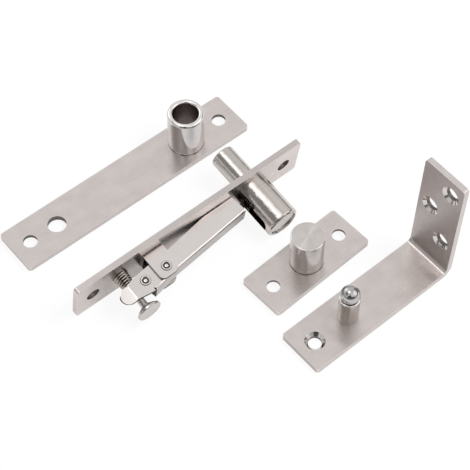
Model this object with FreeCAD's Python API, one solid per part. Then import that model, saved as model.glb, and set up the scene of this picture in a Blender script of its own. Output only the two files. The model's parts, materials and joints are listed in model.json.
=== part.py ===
# Pivot hinge for a swing door: a concealed pivot set of four fittings, laid out side by side.
#
# 1. Socket plate, for the door's top edge: a long plate with a bored socket that sinks into the door.
# 2. Pivot plate, for the head of the frame: a long plate with a barrel that holds the pivot pin.
#    A folded lever, rocked by an adjusting screw, draws the pin back so that the door can be hung.
# 3. Cup plate, for the door's bottom edge: a short plate with a closed cup that sinks into the door.
# 4. Jamb bracket, for the floor and the jamb: an L of plate with a fixed pin that ends in a ball.
#
# Lengths are millimetres. Row frame: X along the plates, Z up from the table, origin in the middle
# of the footprint. The socket, cup and bracket plates lie flat. The pivot plate stands on one long
# edge and leans forward onto the end of its barrel, as it does in the photograph.
#
# Each fitting is drawn in its own frame: x along the plate from one end, y across it from one long
# edge, z away from the face that carries the socket, barrel, cup or pin. That face is z = 0.
import FreeCAD, Part
import math
import os

V = FreeCAD.Vector
ACROSS = V(0, 1, 0)
UP = V(0, 0, 1)

# Plates
plate_width = 24.0
plate_thickness = 3.0
plate_corner_radius = 1.5
long_plate_length = 130.0
short_plate_length = 58.0
pivot_inset = 29.0  # from the end of every plate to the axis that the door turns on

# Screw holes in the plates
long_plate_hole_inset = 9.0
short_plate_hole_inset = 8.2
long_plate_hole_diameter = 6.9
short_plate_hole_diameter = 6.4
countersink_diameter = 9.6
countersink_depth = 1.6

# Upper pivot: the pin, and the socket that it enters
pin_diameter = 12.0
pin_reach = 18.5  # beyond the face of the plate
pin_tip_chamfer = 0.9
pin_tail_length = 6.8  # from the plate's inner face into the barrel
pin_guide_step = 0.2  # how much wider the pin is inside its barrel, all round
pin_clearance = 0.05  # radial
socket_wall = 2.75
socket_height = 21.8
socket_edge_round = 1.6
socket_mouth_chamfer = 0.8
spigot_step = 1.2  # how much narrower the barrel and the lower pin are, staked into their plates

# Barrel round the pin
barrel_wall = 2.25
barrel_length = 23.8
barrel_edge_chamfer = 0.9
barrel_slot_length = 21.0
end_cap_rim = 1.4  # of the barrel, round the cap
end_cap_thickness = 1.4
end_cap_recess = 0.25
end_cap_edge_chamfer = 0.3
seat_clearance = 0.02

# Adjusting screw and its spring
screw_inset = 24.2
screw_neck_diameter = 4.0
screw_clearance = 0.05
screw_head_diameter = 12.0
screw_head_height = 3.5
screw_head_rim = 1.7
screw_head_chamfer = 0.45
screw_head_throat_step = 0.5
screw_head_standoff = 18.5  # from the plate to the underside of the head
screw_tip_recess = 0.2
screw_slot_width = 0.9
screw_slot_depth = 1.0
access_hole_diameter = 9.0  # in the socket plate, in line with the adjusting screw
spring_wire_diameter = 0.8
spring_neck_clearance = 0.55
spring_length = 7.4
spring_turns = 5.5
spring_wire_sides = 8  # flats that stand in for the wire's round section
spring_end_gap = 0.02

# Lever, folded from one sheet into a channel
lever_height = 8.8
lever_sheet = 1.3
lever_bend_round = 1.2
lever_stop_gap = 0.5  # from the plate to the flange edges that rest on it
lever_fold_gap = 1.9  # from the screw's axis to the folds of the nose
lever_web_start_x = 32.0
lever_shoulder_x = 48.5
lever_flat_start_x = 71.5
lever_end_gap = 4.0  # from the flanges to the barrel
lever_nose_low_z = 8.3
lever_nose_high_z = 15.4
lever_crown_z = 16.6
lever_shoulder_z = 3.9
lever_back_start_z = 14.0
lever_back_start_x = 45.0
lever_back_end_z = 9.6
lever_back_overhang = 1.0  # of the web past the flanges
nose_fold_angle = 30.0
nose_tongue_length = 5.5
nose_tongue_lap = 0.6  # of the tongue's blank into the flange
drive_tongue_height = 5.0
drive_tongue_knee_gap = 0.6  # from the knee to the barrel
drive_tongue_tip_z = 2.8
drive_tongue_tip_diameter = 3.2
drive_tongue_bend_radius = 0.9
drive_slot_clearance = 0.1
drive_tongue_side_clearance = 0.4
drive_slot_depth = 2.7  # past the pin's axis
lever_swing = 14.54  # degrees, from the stop to the pin fully drawn back

# Bracket that carries the lever, and the two hollow rivets
bracket_sheet = 1.2
bracket_bend_radius = 0.5
bracket_overhang = 5.8  # before the fulcrum's axis
bracket_length = 11.0
bracket_height = 15.1
bracket_side_clearance = 0.1
bracket_near_round = 2.5
bracket_far_round = 4.5
fulcrum_x = 42.2
fulcrum_z = 10.3
tie_x = 30.5
tie_z = 10.1
rivet_bore_diameter = 3.0
rivet_wall = 0.5
rivet_head_step = 0.6
rivet_head_height = 0.45
rivet_clearance = 0.05

# Lower pivot: the cup, and the pin and ball that it sits on
cup_wall = 3.0
cup_top_thickness = 2.2
cup_edge_chamfer = 0.5
lower_pin_diameter = 9.6
lower_pin_height = 15.6
lower_pin_edge_chamfer = 0.6
lower_pin_clearance = 0.08  # radial, in the cup
ball_shoulder = 0.45  # how far the pin stands out past the ball, all round
ball_rise = 2.5  # from the rim of the pin up to the middle of the ball
ball_seat_clearance = 0.05
door_gap = 1.85  # from the bracket's base to the cup plate, with the door hung

# Jamb bracket
bracket_base_length = 82.1
bracket_upright_height = 63.0
bracket_lean = 1.95  # degrees that the upright opens past square
bracket_inner_radius = 2.5
bracket_base_hole_inset = 9.2
upright_low_hole_height = 20.0  # above the table
upright_top_hole_inset = 9.0
upright_hole_offset = 4.8  # to one side and the other of the middle line

# Places of the four fittings on the table: near corner and turn about Z
socket_plate_place = (-75.58, 49.79, 0.0)
pivot_plate_place = (-73.28, 17.19, 0.45)
cup_plate_place = (-2.98, -40.41, 3.15)
jamb_bracket_place = (-8.58, -73.81, 1.09)

middle = plate_width / 2
same = 1e-4  # measures closer than this are equal


def cylinder(diameter, start_z, end_z, x, y=middle):
    """Upright cylinder between two heights, at a place on the plate."""
    return Part.makeCylinder(diameter / 2, end_z - start_z, V(x, y, start_z), UP)


def round_edges(shape, radius, chosen):
    """Fillet the edges that the test picks."""
    return shape.makeFillet(radius, [edge for edge in shape.Edges if chosen(edge)])


def chamfer_edges(shape, size, chosen):
    """Chamfer the edges that the test picks."""
    return shape.makeChamfer(size, [edge for edge in shape.Edges if chosen(edge)])


def is_upright(edge):
    """True for a straight edge that runs along z."""
    straight = isinstance(edge.Curve, Part.Line)
    return straight and abs(edge.tangentAt(edge.FirstParameter).z) > 0.999


def is_circle_at(edge, radius, z):
    """True for a circular edge of this radius whose middle is at this height."""
    circle = isinstance(edge.Curve, Part.Circle)
    return circle and abs(edge.Curve.Radius - radius) < same and abs(edge.Curve.Center.z - z) < same


def flat_plate(length):
    """Plate with rounded corners, from its inner face at z = 0 down to its outer face."""
    blank = Part.makeBox(length, plate_width, plate_thickness, V(0, 0, -plate_thickness))
    return round_edges(blank, plate_corner_radius, is_upright)


def countersunk_drill(diameter, x, y=middle, from_above=False):
    """Cutter for a screw hole whose countersink opens at one face of a plate."""
    drill = cylinder(diameter, -2 * plate_thickness, plate_thickness, x, y)
    if from_above:
        sink = Part.makeCone(diameter / 2, countersink_diameter / 2, countersink_depth,
                             V(x, y, -countersink_depth), UP)
    else:
        sink = Part.makeCone(countersink_diameter / 2, diameter / 2, countersink_depth,
                             V(x, y, -plate_thickness), UP)
    return drill.fuse(sink)


def strip_along(path_points, bend_radius, thickness, width, start_x):
    """Sheet folded along a path in the plane square to `width`.

    The path is the middle of the sheet, as (along, z) pairs in the xz plane at y = start_x.
    Every inner point becomes an arc, so the sheet bends round it. The width runs along y.
    """
    points = [V(along, start_x, z) for along, z in path_points]
    edges = []
    here = points[0]
    for before, corner, after in zip(points, points[1:], points[2:]):
        into = (corner - before).normalize()
        out = (after - corner).normalize()
        turn = into.getAngle(out)
        setback = (bend_radius + thickness / 2) * math.tan(turn / 2)
        start = corner - into * setback
        end = corner + out * setback
        inward = (out - into).normalize()
        sagitta = setback * math.cos(turn / 2) * math.tan(turn / 4)
        crown = (start + end) * 0.5 - inward * sagitta
        edges.append(Part.LineSegment(here, start).toShape())
        edges.append(Part.Arc(start, crown, end).toShape())
        here = end
    edges.append(Part.LineSegment(here, points[-1]).toShape())
    heading = (points[1] - points[0]).normalize()
    side = heading.cross(ACROSS) * (thickness / 2)
    reach = ACROSS * width
    section = Part.makePolygon([points[0] - side, points[0] + side, points[0] + side + reach,
                                points[0] - side + reach, points[0] - side])
    return Part.Wire(edges).makePipeShell([section], True, False)


def hollow_rivet(half_grip, x, z):
    """Hollow rivet across the plate's width, with a flared head beyond each side of its grip."""
    bore = rivet_bore_diameter / 2
    shank = rivet_shank_diameter / 2
    head = rivet_head_diameter / 2
    tip = half_grip + rivet_head_height
    flare = rivet_head_height * 0.6
    profile = [(bore, -tip + flare), (bore + flare, -tip), (head - flare, -tip), (head, -half_grip),
               (shank, -half_grip), (shank, half_grip), (head, half_grip), (head - flare, tip),
               (bore + flare, tip), (bore, tip - flare)]
    points = [V(x + radius, middle + across, z) for radius, across in profile]
    face = Part.Face(Part.makePolygon(points + points[:1]))
    return face.revolve(V(x, middle, z), ACROSS, 360)


def cross_drill(diameter, x, z):
    """Cutter for a hole that runs across the plate's width."""
    return Part.makeCylinder(diameter / 2, 2 * plate_width, V(x, -middle, z), ACROSS)


# Socket plate and its socket
socket_x = long_plate_length - pivot_inset
socket_bore_diameter = pin_diameter + 2 * pin_clearance
socket_outside_diameter = socket_bore_diameter + 2 * socket_wall


def make_socket_plate():
    plate = flat_plate(long_plate_length)
    holes = [countersunk_drill(long_plate_hole_diameter, long_plate_hole_inset),
             countersunk_drill(long_plate_hole_diameter, long_plate_length - long_plate_hole_inset),
             cylinder(access_hole_diameter, -2 * plate_thickness, plate_thickness, screw_inset),
             cylinder(socket_outside_diameter + 2 * seat_clearance, -2 * plate_thickness,
                      plate_thickness, socket_x)]
    return plate.cut(holes)


def make_pin_socket():
    """Turned bush, pressed through the plate and flush with its outer face, bored right through."""
    outside = socket_outside_diameter / 2
    body = cylinder(socket_outside_diameter, -plate_thickness, socket_height, socket_x)
    body = round_edges(body, socket_edge_round, lambda edge: is_circle_at(edge, outside, socket_height))
    bore = cylinder(socket_bore_diameter, -2 * plate_thickness, 2 * socket_height, socket_x)
    mouth_z = socket_height - socket_mouth_chamfer
    mouth = Part.makeCone(socket_bore_diameter / 2, socket_bore_diameter / 2 + socket_mouth_chamfer,
                          socket_mouth_chamfer, V(socket_x, middle, mouth_z), UP)
    return body.cut([bore, mouth])


# Pivot plate, with its barrel, pin, screw, spring and lever
pin_x = long_plate_length - pivot_inset
pin_guide_diameter = pin_diameter + 2 * pin_guide_step
barrel_bore_diameter = pin_guide_diameter + 2 * pin_clearance
barrel_outside_diameter = barrel_bore_diameter + 2 * barrel_wall
barrel_slot_width = drive_tongue_height + 2 * drive_tongue_side_clearance
end_cap_diameter = barrel_outside_diameter - 2 * end_cap_rim
barrel_spigot_diameter = barrel_outside_diameter - 2 * spigot_step
cap_seat_z = barrel_length - end_cap_recess - end_cap_thickness
barrel_wall_x = pin_x - barrel_outside_diameter / 2
lever_fold_x = screw_inset - lever_fold_gap
lever_flange_end_x = barrel_wall_x - lever_end_gap
lever_back_end_x = lever_flange_end_x + lever_back_overhang
lever_low_y = middle - lever_height / 2
lever_high_y = middle + lever_height / 2
rivet_shank_diameter = rivet_bore_diameter + 2 * rivet_wall
rivet_head_diameter = rivet_shank_diameter + 2 * rivet_head_step
bracket_start_x = fulcrum_x - bracket_overhang


def make_pivot_plate():
    plate = flat_plate(long_plate_length)
    tapped = cylinder(screw_neck_diameter + 2 * screw_clearance, -2 * plate_thickness,
                      plate_thickness, screw_inset)
    seat = cylinder(barrel_spigot_diameter + 2 * seat_clearance, -2 * plate_thickness,
                    plate_thickness, pin_x)
    return plate.cut([countersunk_drill(long_plate_hole_diameter, long_plate_hole_inset),
                      countersunk_drill(long_plate_hole_diameter,
                                        long_plate_length - long_plate_hole_inset),
                      tapped, seat])


def make_pin_barrel():
    """Turned tube, staked into the plate, slotted along one side for the lever's tongue."""
    outside = barrel_outside_diameter / 2
    body = cylinder(barrel_outside_diameter, 0, barrel_length, pin_x)
    body = chamfer_edges(body, barrel_edge_chamfer,
                         lambda edge: is_circle_at(edge, outside, barrel_length))
    spigot = cylinder(barrel_spigot_diameter, -plate_thickness, 0, pin_x)
    bore = cylinder(barrel_bore_diameter, -2 * plate_thickness, 2 * barrel_length, pin_x)
    cap_seat = cylinder(end_cap_diameter + 2 * seat_clearance, cap_seat_z, 2 * barrel_length, pin_x)
    slot_round = barrel_slot_width / 2
    slot = Part.makeBox(outside * 2, barrel_slot_width, barrel_slot_length - slot_round,
                        V(pin_x - outside * 2, middle - slot_round, 0))
    slot_end = Part.makeCylinder(slot_round, outside * 2,
                                 V(pin_x - outside * 2, middle, barrel_slot_length - slot_round),
                                 V(1, 0, 0))
    return body.fuse(spigot).cut([bore, cap_seat, slot, slot_end]).removeSplitter()


def make_barrel_end_cap():
    cap = cylinder(end_cap_diameter, cap_seat_z, cap_seat_z + end_cap_thickness, pin_x)
    face_z = cap_seat_z + end_cap_thickness
    return chamfer_edges(cap, end_cap_edge_chamfer,
                         lambda edge: is_circle_at(edge, end_cap_diameter / 2, face_z))


def make_pivot_pin():
    """Pin with a wider guide in the barrel, and a milled cross slot for the lever's tongue."""
    tip_z = -plate_thickness - pin_reach
    nose = cylinder(pin_diameter, tip_z, -plate_thickness, pin_x)
    nose = chamfer_edges(nose, pin_tip_chamfer, lambda edge: is_circle_at(edge, pin_diameter / 2, tip_z))
    guide = cylinder(pin_guide_diameter, -plate_thickness, pin_tail_length, pin_x)
    slot_half = drive_tongue_tip_diameter / 2 + drive_slot_clearance
    slot = Part.makeBox(pin_diameter + drive_slot_depth, plate_width, 2 * slot_half,
                        V(pin_x - pin_diameter, 0, drive_tongue_tip_z - slot_half))
    return nose.fuse(guide).cut(slot)


def make_lever_bracket():
    """Sheet folded into a U that stands on the plate, an ear on each side of the lever."""
    half_gap = lever_height / 2 + bracket_side_clearance
    ear_y = half_gap + bracket_sheet / 2
    floor_z = bracket_sheet / 2
    path = [(-ear_y, bracket_height), (-ear_y, floor_z), (ear_y, floor_z), (ear_y, bracket_height)]
    bracket = strip_along(path, bracket_bend_radius, bracket_sheet, bracket_length, 0)
    bracket.rotate(V(0, 0, 0), UP, -90)
    bracket.translate(V(bracket_start_x, middle, 0))
    far_x = bracket_start_x + bracket_length

    def is_ear_corner(edge, x):
        line = isinstance(edge.Curve, Part.Line)
        place = edge.CenterOfMass
        return line and abs(place.z - bracket_height) < same and abs(place.x - x) < same

    bracket = round_edges(bracket, bracket_near_round, lambda edge: is_ear_corner(edge, bracket_start_x))
    bracket = round_edges(bracket, bracket_far_round, lambda edge: is_ear_corner(edge, far_x))
    return bracket.cut(cross_drill(rivet_shank_diameter + 2 * rivet_clearance, fulcrum_x, fulcrum_z))


def make_lever_channel():
    """Flanges and web: the side outline pushed across, then hollowed from the plate's side."""
    outline = [(lever_fold_x, lever_nose_low_z), (lever_shoulder_x, lever_shoulder_z),
               (lever_flat_start_x, lever_stop_gap), (lever_flange_end_x, lever_stop_gap),
               (lever_back_end_x, lever_back_end_z), (lever_back_start_x, lever_back_start_z),
               (lever_web_start_x, lever_crown_z), (lever_fold_x, lever_nose_high_z)]
    points = [V(x, lever_low_y, z) for x, z in outline]
    block = Part.Face(Part.makePolygon(points + points[:1])).extrude(ACROSS * lever_height)

    def is_back_edge(edge):
        """The long edges where the flanges fold out of the web."""
        place = edge.CenterOfMass
        along = abs(edge.tangentAt(edge.FirstParameter).y) < same
        back = place.x > lever_web_start_x and place.z > lever_back_end_z
        return along and back and place.x < lever_back_end_x

    block = round_edges(block, lever_bend_round, is_back_edge)
    past_end = lever_back_end_x + lever_sheet
    before_nose = lever_fold_x - lever_sheet
    slope = (lever_back_end_z - lever_back_start_z) / (lever_back_end_x - lever_back_start_x)
    inside = [(before_nose, -plate_thickness), (past_end, -plate_thickness),
              (past_end, lever_back_end_z - lever_sheet + slope * lever_sheet),
              (lever_back_start_x, lever_back_start_z - lever_sheet),
              (lever_web_start_x + lever_sheet, lever_crown_z - 2 * lever_sheet),
              (lever_web_start_x + lever_sheet / 2, lever_crown_z + lever_sheet),
              (before_nose, lever_crown_z + lever_sheet)]
    low_y = lever_low_y + lever_sheet
    points = [V(x, low_y, z) for x, z in inside]
    width = ACROSS * (lever_height - 2 * lever_sheet)
    return block.cut(Part.Face(Part.makePolygon(points + points[:1])).extrude(width))


def make_nose_tongue():
    """Round-ended tongue on the upper flange, folded towards the middle."""
    wide = lever_nose_high_z - lever_nose_low_z
    round_end = wide / 2
    straight = nose_tongue_length - round_end + nose_tongue_lap
    middle_z = (lever_nose_high_z + lever_nose_low_z) / 2
    low_y = lever_high_y - lever_sheet
    blank = Part.makeBox(straight, lever_sheet, wide, V(lever_fold_x - straight, low_y, lever_nose_low_z))
    end = Part.makeCylinder(round_end, lever_sheet, V(lever_fold_x - straight, low_y, middle_z), ACROSS)
    tongue = blank.fuse(end)
    tongue.rotate(V(lever_fold_x, lever_high_y, 0), UP, nose_fold_angle)
    return tongue


def make_drive_tongue():
    """Narrow tongue that carries on from the web, through the barrel's slot, into the pin."""
    back_slope = (lever_back_start_z - lever_back_end_z) / (lever_back_end_x - lever_back_start_x)
    root_x = lever_back_end_x - 3 * lever_sheet
    root_z = lever_back_end_z - lever_sheet / 2 + (lever_back_end_x - root_x) * back_slope
    brow_x = lever_back_end_x - lever_sheet / 2
    brow_z = lever_back_end_z - lever_sheet / 2 + (lever_back_end_x - brow_x) * back_slope
    tilt = math.tan(math.radians(lever_swing / 2))
    knee_x = barrel_wall_x - drive_tongue_knee_gap
    knee_z = drive_tongue_tip_z + (pin_x - knee_x) * tilt
    path = [(root_x, root_z), (brow_x, brow_z), (knee_x, knee_z), (pin_x, drive_tongue_tip_z)]
    low_y = middle - drive_tongue_height / 2
    strip = strip_along(path, drive_tongue_bend_radius, lever_sheet, drive_tongue_height, low_y)
    tip = Part.makeCylinder(drive_tongue_tip_diameter / 2, drive_tongue_height,
                            V(pin_x, low_y, drive_tongue_tip_z), ACROSS)
    return strip.fuse(tip)


def make_retracting_lever():
    """One folded sheet: channel, two nose tongues that hug the screw, and the drive tongue."""
    upper = make_nose_tongue()
    lower = upper.mirror(V(0, middle, 0), ACROSS)
    lever = make_lever_channel().fuse([upper, lower, make_drive_tongue()]).removeSplitter()
    hole = rivet_shank_diameter + 2 * rivet_clearance
    return lever.cut([cross_drill(hole, fulcrum_x, fulcrum_z), cross_drill(hole, tie_x, tie_z)])


def make_fulcrum_rivet():
    half_grip = lever_height / 2 + bracket_side_clearance + bracket_sheet
    return hollow_rivet(half_grip, fulcrum_x, fulcrum_z)


def make_tie_rivet():
    return hollow_rivet(lever_height / 2, tie_x, tie_z)


def make_adjusting_screw():
    """Mushroom-headed screw, driven from the plate's outer face by a slot in its tip."""
    neck = screw_neck_diameter / 2
    head = screw_head_diameter / 2
    throat = neck + screw_head_throat_step
    tip_z = -plate_thickness + screw_tip_recess
    face_z = screw_head_standoff + screw_head_height
    rim_z = face_z - screw_head_rim
    profile = [(0, tip_z), (neck, tip_z), (neck, screw_head_standoff), (throat, screw_head_standoff),
               (head, rim_z), (head, face_z), (0, face_z)]
    points = [V(screw_inset + radius, middle, z) for radius, z in profile]
    face = Part.Face(Part.makePolygon(points + points[:1]))
    screw = face.revolve(V(screw_inset, middle, 0), UP, 360)
    screw = chamfer_edges(screw, screw_head_chamfer, lambda edge: is_circle_at(edge, head, face_z))
    slot = Part.makeBox(screw_neck_diameter * 2, screw_slot_width, screw_slot_depth * 2,
                        V(screw_inset - screw_neck_diameter, middle - screw_slot_width / 2,
                          tip_z - screw_slot_depth))
    return screw.cut(slot)


def make_return_spring():
    """Open coil round the screw's neck, between the plate and the lever's nose."""
    wire = spring_wire_diameter / 2
    coil = screw_neck_diameter / 2 + spring_neck_clearance + wire
    rise = spring_length - spring_wire_diameter - spring_end_gap
    helix = Part.makeHelix(rise / spring_turns, rise, coil)
    ring = []
    for side in range(spring_wire_sides + 1):
        turn = math.radians(360 * (side + 0.5) / spring_wire_sides)
        ring.append(V(coil + wire * math.cos(turn), 0, wire * math.sin(turn)))
    spring = Part.Wire(helix.Edges).makePipeShell([Part.makePolygon(ring)], True, True)
    spring.translate(V(screw_inset, middle, wire + spring_end_gap))
    return spring


# Cup plate and its cup
cup_x = short_plate_length / 2
cup_bore_diameter = lower_pin_diameter + 2 * lower_pin_clearance
cup_outside_diameter = cup_bore_diameter + 2 * cup_wall
ball_diameter = lower_pin_diameter - 2 * ball_shoulder
cup_bore_depth = lower_pin_height + ball_rise + ball_diameter / 2 - door_gap
cup_height = cup_bore_depth - plate_thickness + cup_top_thickness


def make_cup_plate():
    plate = flat_plate(short_plate_length)
    seat = cylinder(cup_outside_diameter + 2 * seat_clearance, -2 * plate_thickness,
                    plate_thickness, cup_x)
    far = short_plate_length - short_plate_hole_inset
    return plate.cut([countersunk_drill(short_plate_hole_diameter, short_plate_hole_inset),
                      countersunk_drill(short_plate_hole_diameter, far), seat])


def make_pivot_cup():
    """Turned cup, closed at the top, that opens through the plate's outer face."""
    outside = cup_outside_diameter / 2
    body = cylinder(cup_outside_diameter, -plate_thickness, cup_height, cup_x)
    body = chamfer_edges(body, cup_edge_chamfer, lambda edge: is_circle_at(edge, outside, cup_height))
    bore = cylinder(cup_bore_diameter, -2 * plate_thickness, cup_bore_depth - plate_thickness, cup_x)
    return body.cut(bore)


# Jamb bracket, with its pin and ball
ball_z = lower_pin_height + ball_rise


def make_jamb_bracket():
    """L of plate: the base lies on the table, the upright stands at its far end."""
    half = plate_thickness / 2
    lean = math.radians(bracket_lean)
    corner_x = bracket_base_length - half
    top_z = bracket_upright_height - plate_thickness
    rise = top_z + half
    path = [(0, -half), (corner_x, -half), (corner_x + rise * math.tan(lean), top_z)]
    bracket = strip_along(path, bracket_inner_radius, plate_thickness, plate_width, 0)
    upright = V(math.sin(lean), 0, math.cos(lean))

    def is_free_corner(edge):
        """The short edges through the sheet, at the base's end and the upright's top."""
        if not isinstance(edge.Curve, Part.Line) or abs(edge.Length - plate_thickness) > same:
            return False
        return abs(edge.tangentAt(edge.FirstParameter).y) < same

    bracket = round_edges(bracket, plate_corner_radius, is_free_corner)
    holes = [countersunk_drill(short_plate_hole_diameter, bracket_base_hole_inset, from_above=True),
             cylinder(lower_pin_spigot() + 2 * seat_clearance, -2 * plate_thickness,
                      plate_thickness, pivot_inset)]
    top_hole_height = bracket_upright_height - upright_top_hole_inset
    middle_hole_height = (upright_low_hole_height + top_hole_height) / 2
    for place, height in enumerate((upright_low_hole_height, middle_hole_height, top_hole_height)):
        side = upright_hole_offset if place % 2 else -upright_hole_offset
        cutter = countersunk_drill(short_plate_hole_diameter, 0, middle + side, from_above=True)
        cutter.rotate(V(0, 0, 0), ACROSS, -90 + bracket_lean)
        face_x = corner_x - half / math.cos(lean) + half * math.tan(lean)
        along = (height - plate_thickness) / upright.z
        cutter.translate(V(face_x, 0, 0) + upright * along)
        holes.append(cutter)
    return bracket.cut(holes)


def lower_pin_spigot():
    return lower_pin_diameter - 2 * spigot_step


def make_lower_pin():
    """Pin staked into the bracket's base, with a conical seat at the top that the ball just fits."""
    outside = lower_pin_diameter / 2
    body = cylinder(lower_pin_diameter, 0, lower_pin_height, pivot_inset)
    body = chamfer_edges(body, lower_pin_edge_chamfer,
                         lambda edge: is_circle_at(edge, outside, lower_pin_height))
    spigot = cylinder(lower_pin_spigot(), -plate_thickness, 0, pivot_inset)
    reach = ball_diameter / 2 + ball_seat_clearance
    mouth = math.sqrt(reach ** 2 - ball_rise ** 2)
    depth = mouth ** 2 / ball_rise
    seat = Part.makeCone(0, mouth, depth, V(pivot_inset, middle, lower_pin_height - depth), UP)
    return body.fuse(spigot).cut(seat).removeSplitter()


def make_pivot_ball():
    return Part.makeSphere(ball_diameter / 2, V(pivot_inset, middle, ball_z))


def barrel_lean():
    """Angle at which the pivot plate rests on its long edge and on the end of its barrel."""
    drop = middle - barrel_outside_diameter / 2
    return math.atan2(drop, barrel_length - barrel_edge_chamfer)


def lie_flat(shape, place):
    """Put a fitting on the table with its outer face down."""
    x, y, turn = place
    shape.translate(V(0, 0, plate_thickness))
    shape.rotate(V(0, 0, 0), UP, turn)
    shape.translate(V(x, y, 0))
    return shape


def stand_on_edge(shape, place):
    """Stand the pivot plate on its long edge, leaning forward onto its barrel."""
    x, y, turn = place
    shape.rotate(V(0, 0, 0), V(1, 0, 0), 90 + math.degrees(barrel_lean()))
    shape.rotate(V(0, 0, 0), UP, turn)
    shape.translate(V(x, y, 0))
    return shape


fittings = [
    (lie_flat, socket_plate_place, {
        "socket_plate": make_socket_plate,
        "pin_socket": make_pin_socket}),
    (stand_on_edge, pivot_plate_place, {
        "pivot_plate": make_pivot_plate,
        "pin_barrel": make_pin_barrel,
        "barrel_end_cap": make_barrel_end_cap,
        "pivot_pin": make_pivot_pin,
        "lever_bracket": make_lever_bracket,
        "retracting_lever": make_retracting_lever,
        "fulcrum_rivet": make_fulcrum_rivet,
        "tie_rivet": make_tie_rivet,
        "adjusting_screw": make_adjusting_screw,
        "return_spring": make_return_spring}),
    (lie_flat, cup_plate_place, {
        "cup_plate": make_cup_plate,
        "pivot_cup": make_pivot_cup}),
    (lie_flat, jamb_bracket_place, {
        "jamb_bracket": make_jamb_bracket,
        "lower_pin": make_lower_pin,
        "pivot_ball": make_pivot_ball}),
]

os.makedirs("parts", exist_ok=True)
for put, place, makers in fittings:
    for name, make in makers.items():
        shape = put(make(), place)
        shape.exportStep("parts/%s.step" % name)
        print("%-18s solids %d valid %s volume %8.1f mm3" % (
            name, len(shape.Solids), shape.isValid(), shape.Volume))
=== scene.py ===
# %% [markdown]
# # A concealed pivot hinge, dressed for the camera
#
# The set hangs a swing door on two points. A socket plate and a pivot plate make the upper point, a
# cup plate and an L bracket with a ball-tipped pin make the lower one. All four fittings are steel, so
# the picture is made of reflections: the shapes need true edges and the finishes need the marks that
# the tools left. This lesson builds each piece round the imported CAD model, finishes it, and lights it.

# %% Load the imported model
import json
import math
from contextlib import contextmanager

import bmesh
import bpy
from mathutils import Matrix, Vector


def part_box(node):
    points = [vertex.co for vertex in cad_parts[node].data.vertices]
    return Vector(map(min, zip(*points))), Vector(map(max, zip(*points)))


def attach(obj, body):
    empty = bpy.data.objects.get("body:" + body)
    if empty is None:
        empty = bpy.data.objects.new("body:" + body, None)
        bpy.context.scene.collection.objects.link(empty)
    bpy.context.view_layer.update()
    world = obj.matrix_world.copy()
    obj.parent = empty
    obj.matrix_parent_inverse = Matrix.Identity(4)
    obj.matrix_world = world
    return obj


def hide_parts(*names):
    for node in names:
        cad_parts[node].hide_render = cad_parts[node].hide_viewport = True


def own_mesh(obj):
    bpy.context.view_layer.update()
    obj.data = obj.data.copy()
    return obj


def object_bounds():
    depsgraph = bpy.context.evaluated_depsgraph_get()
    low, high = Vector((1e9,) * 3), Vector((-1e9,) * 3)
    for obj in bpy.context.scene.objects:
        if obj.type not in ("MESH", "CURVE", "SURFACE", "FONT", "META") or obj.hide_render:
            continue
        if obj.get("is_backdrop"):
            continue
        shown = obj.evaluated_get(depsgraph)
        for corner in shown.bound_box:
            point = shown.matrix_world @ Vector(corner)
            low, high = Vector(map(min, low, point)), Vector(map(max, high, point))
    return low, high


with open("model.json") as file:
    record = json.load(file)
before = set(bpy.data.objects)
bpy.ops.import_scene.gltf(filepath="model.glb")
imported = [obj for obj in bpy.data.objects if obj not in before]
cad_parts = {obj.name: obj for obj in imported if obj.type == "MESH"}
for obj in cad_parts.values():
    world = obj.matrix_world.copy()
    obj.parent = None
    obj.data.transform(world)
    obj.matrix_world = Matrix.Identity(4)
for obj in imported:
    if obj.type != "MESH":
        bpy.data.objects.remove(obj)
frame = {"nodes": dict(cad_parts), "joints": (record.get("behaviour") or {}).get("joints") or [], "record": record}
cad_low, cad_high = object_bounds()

mm = 0.001
mounts = {mount["name"]: mount for mount in frame["record"]["mounts"]}
joints = {joint["name"]: joint for joint in frame["joints"]}

# %% [markdown]
# ## Where each fitting lies
#
# Every fitting has a frame of its own: x along the plate, y across it, z away from the face that
# carries the turned pieces. Two mounts give the direction of x, the seat gives z, and the place of the
# seat in that frame gives the origin. With such a frame, a piece is drawn as if it lay flat on the
# bench, and one matrix lays it where the CAD model has it.

# %% Frames of the four fittings
plate_width = 24.0 * mm
plate_thickness = 3.0 * mm
long_plate_length = 130.0 * mm
short_plate_length = 58.0 * mm
pivot_inset = 29.0 * mm
middle = plate_width / 2


def spot(name):
    """Place of a mount or a joint in the row frame."""
    return Vector((mounts.get(name) or joints[name])["pos_m"])


def fitting_frame(seat, seat_spot, first, second, side=1):
    """Matrix from a fitting's own frame to the row frame."""
    z_axis = Vector(mounts[seat]["axis"]) * side
    reach = spot(second) - spot(first)
    x_axis = (reach - z_axis * reach.dot(z_axis)).normalized()
    turn = Matrix((x_axis, z_axis.cross(x_axis), z_axis)).transposed()
    return Matrix.Translation(spot(seat) - turn @ Vector(seat_spot)) @ turn.to_4x4()


half_long = long_plate_length / 2
socket_side = fitting_frame("socket_plate_seat", (half_long, middle, 0), "access_hole", "top_socket_bore")
pivot_side = fitting_frame("pivot_plate_seat", (half_long, middle, 0), "lever_pivot", "upper_pivot_pin")
cup_side = fitting_frame("cup_plate_seat", (15 * mm, middle, 0), "cup_plate_seat", "cup_bore")
jamb_side = fitting_frame("bracket_base_seat", (50 * mm, middle, -plate_thickness),
                          "base_screw_hole", "lower_pivot_pin", side=-1)
for name, matrix in (("socket", socket_side), ("pivot", pivot_side), ("cup", cup_side), ("jamb", jamb_side)):
    print(name, "origin in mm", [round(c / mm, 2) for c in matrix.translation])

# %% [markdown]
# ## Profiles with true corners
#
# A turned piece is a profile swept round an axis, and no real profile has a sharp corner: the tool's
# nose and a touch of the file leave a small round, which is what catches the light. The helper below
# takes corners with their rounds and gives back points with their exact normals, so that the shading
# is right with few faces.

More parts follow.
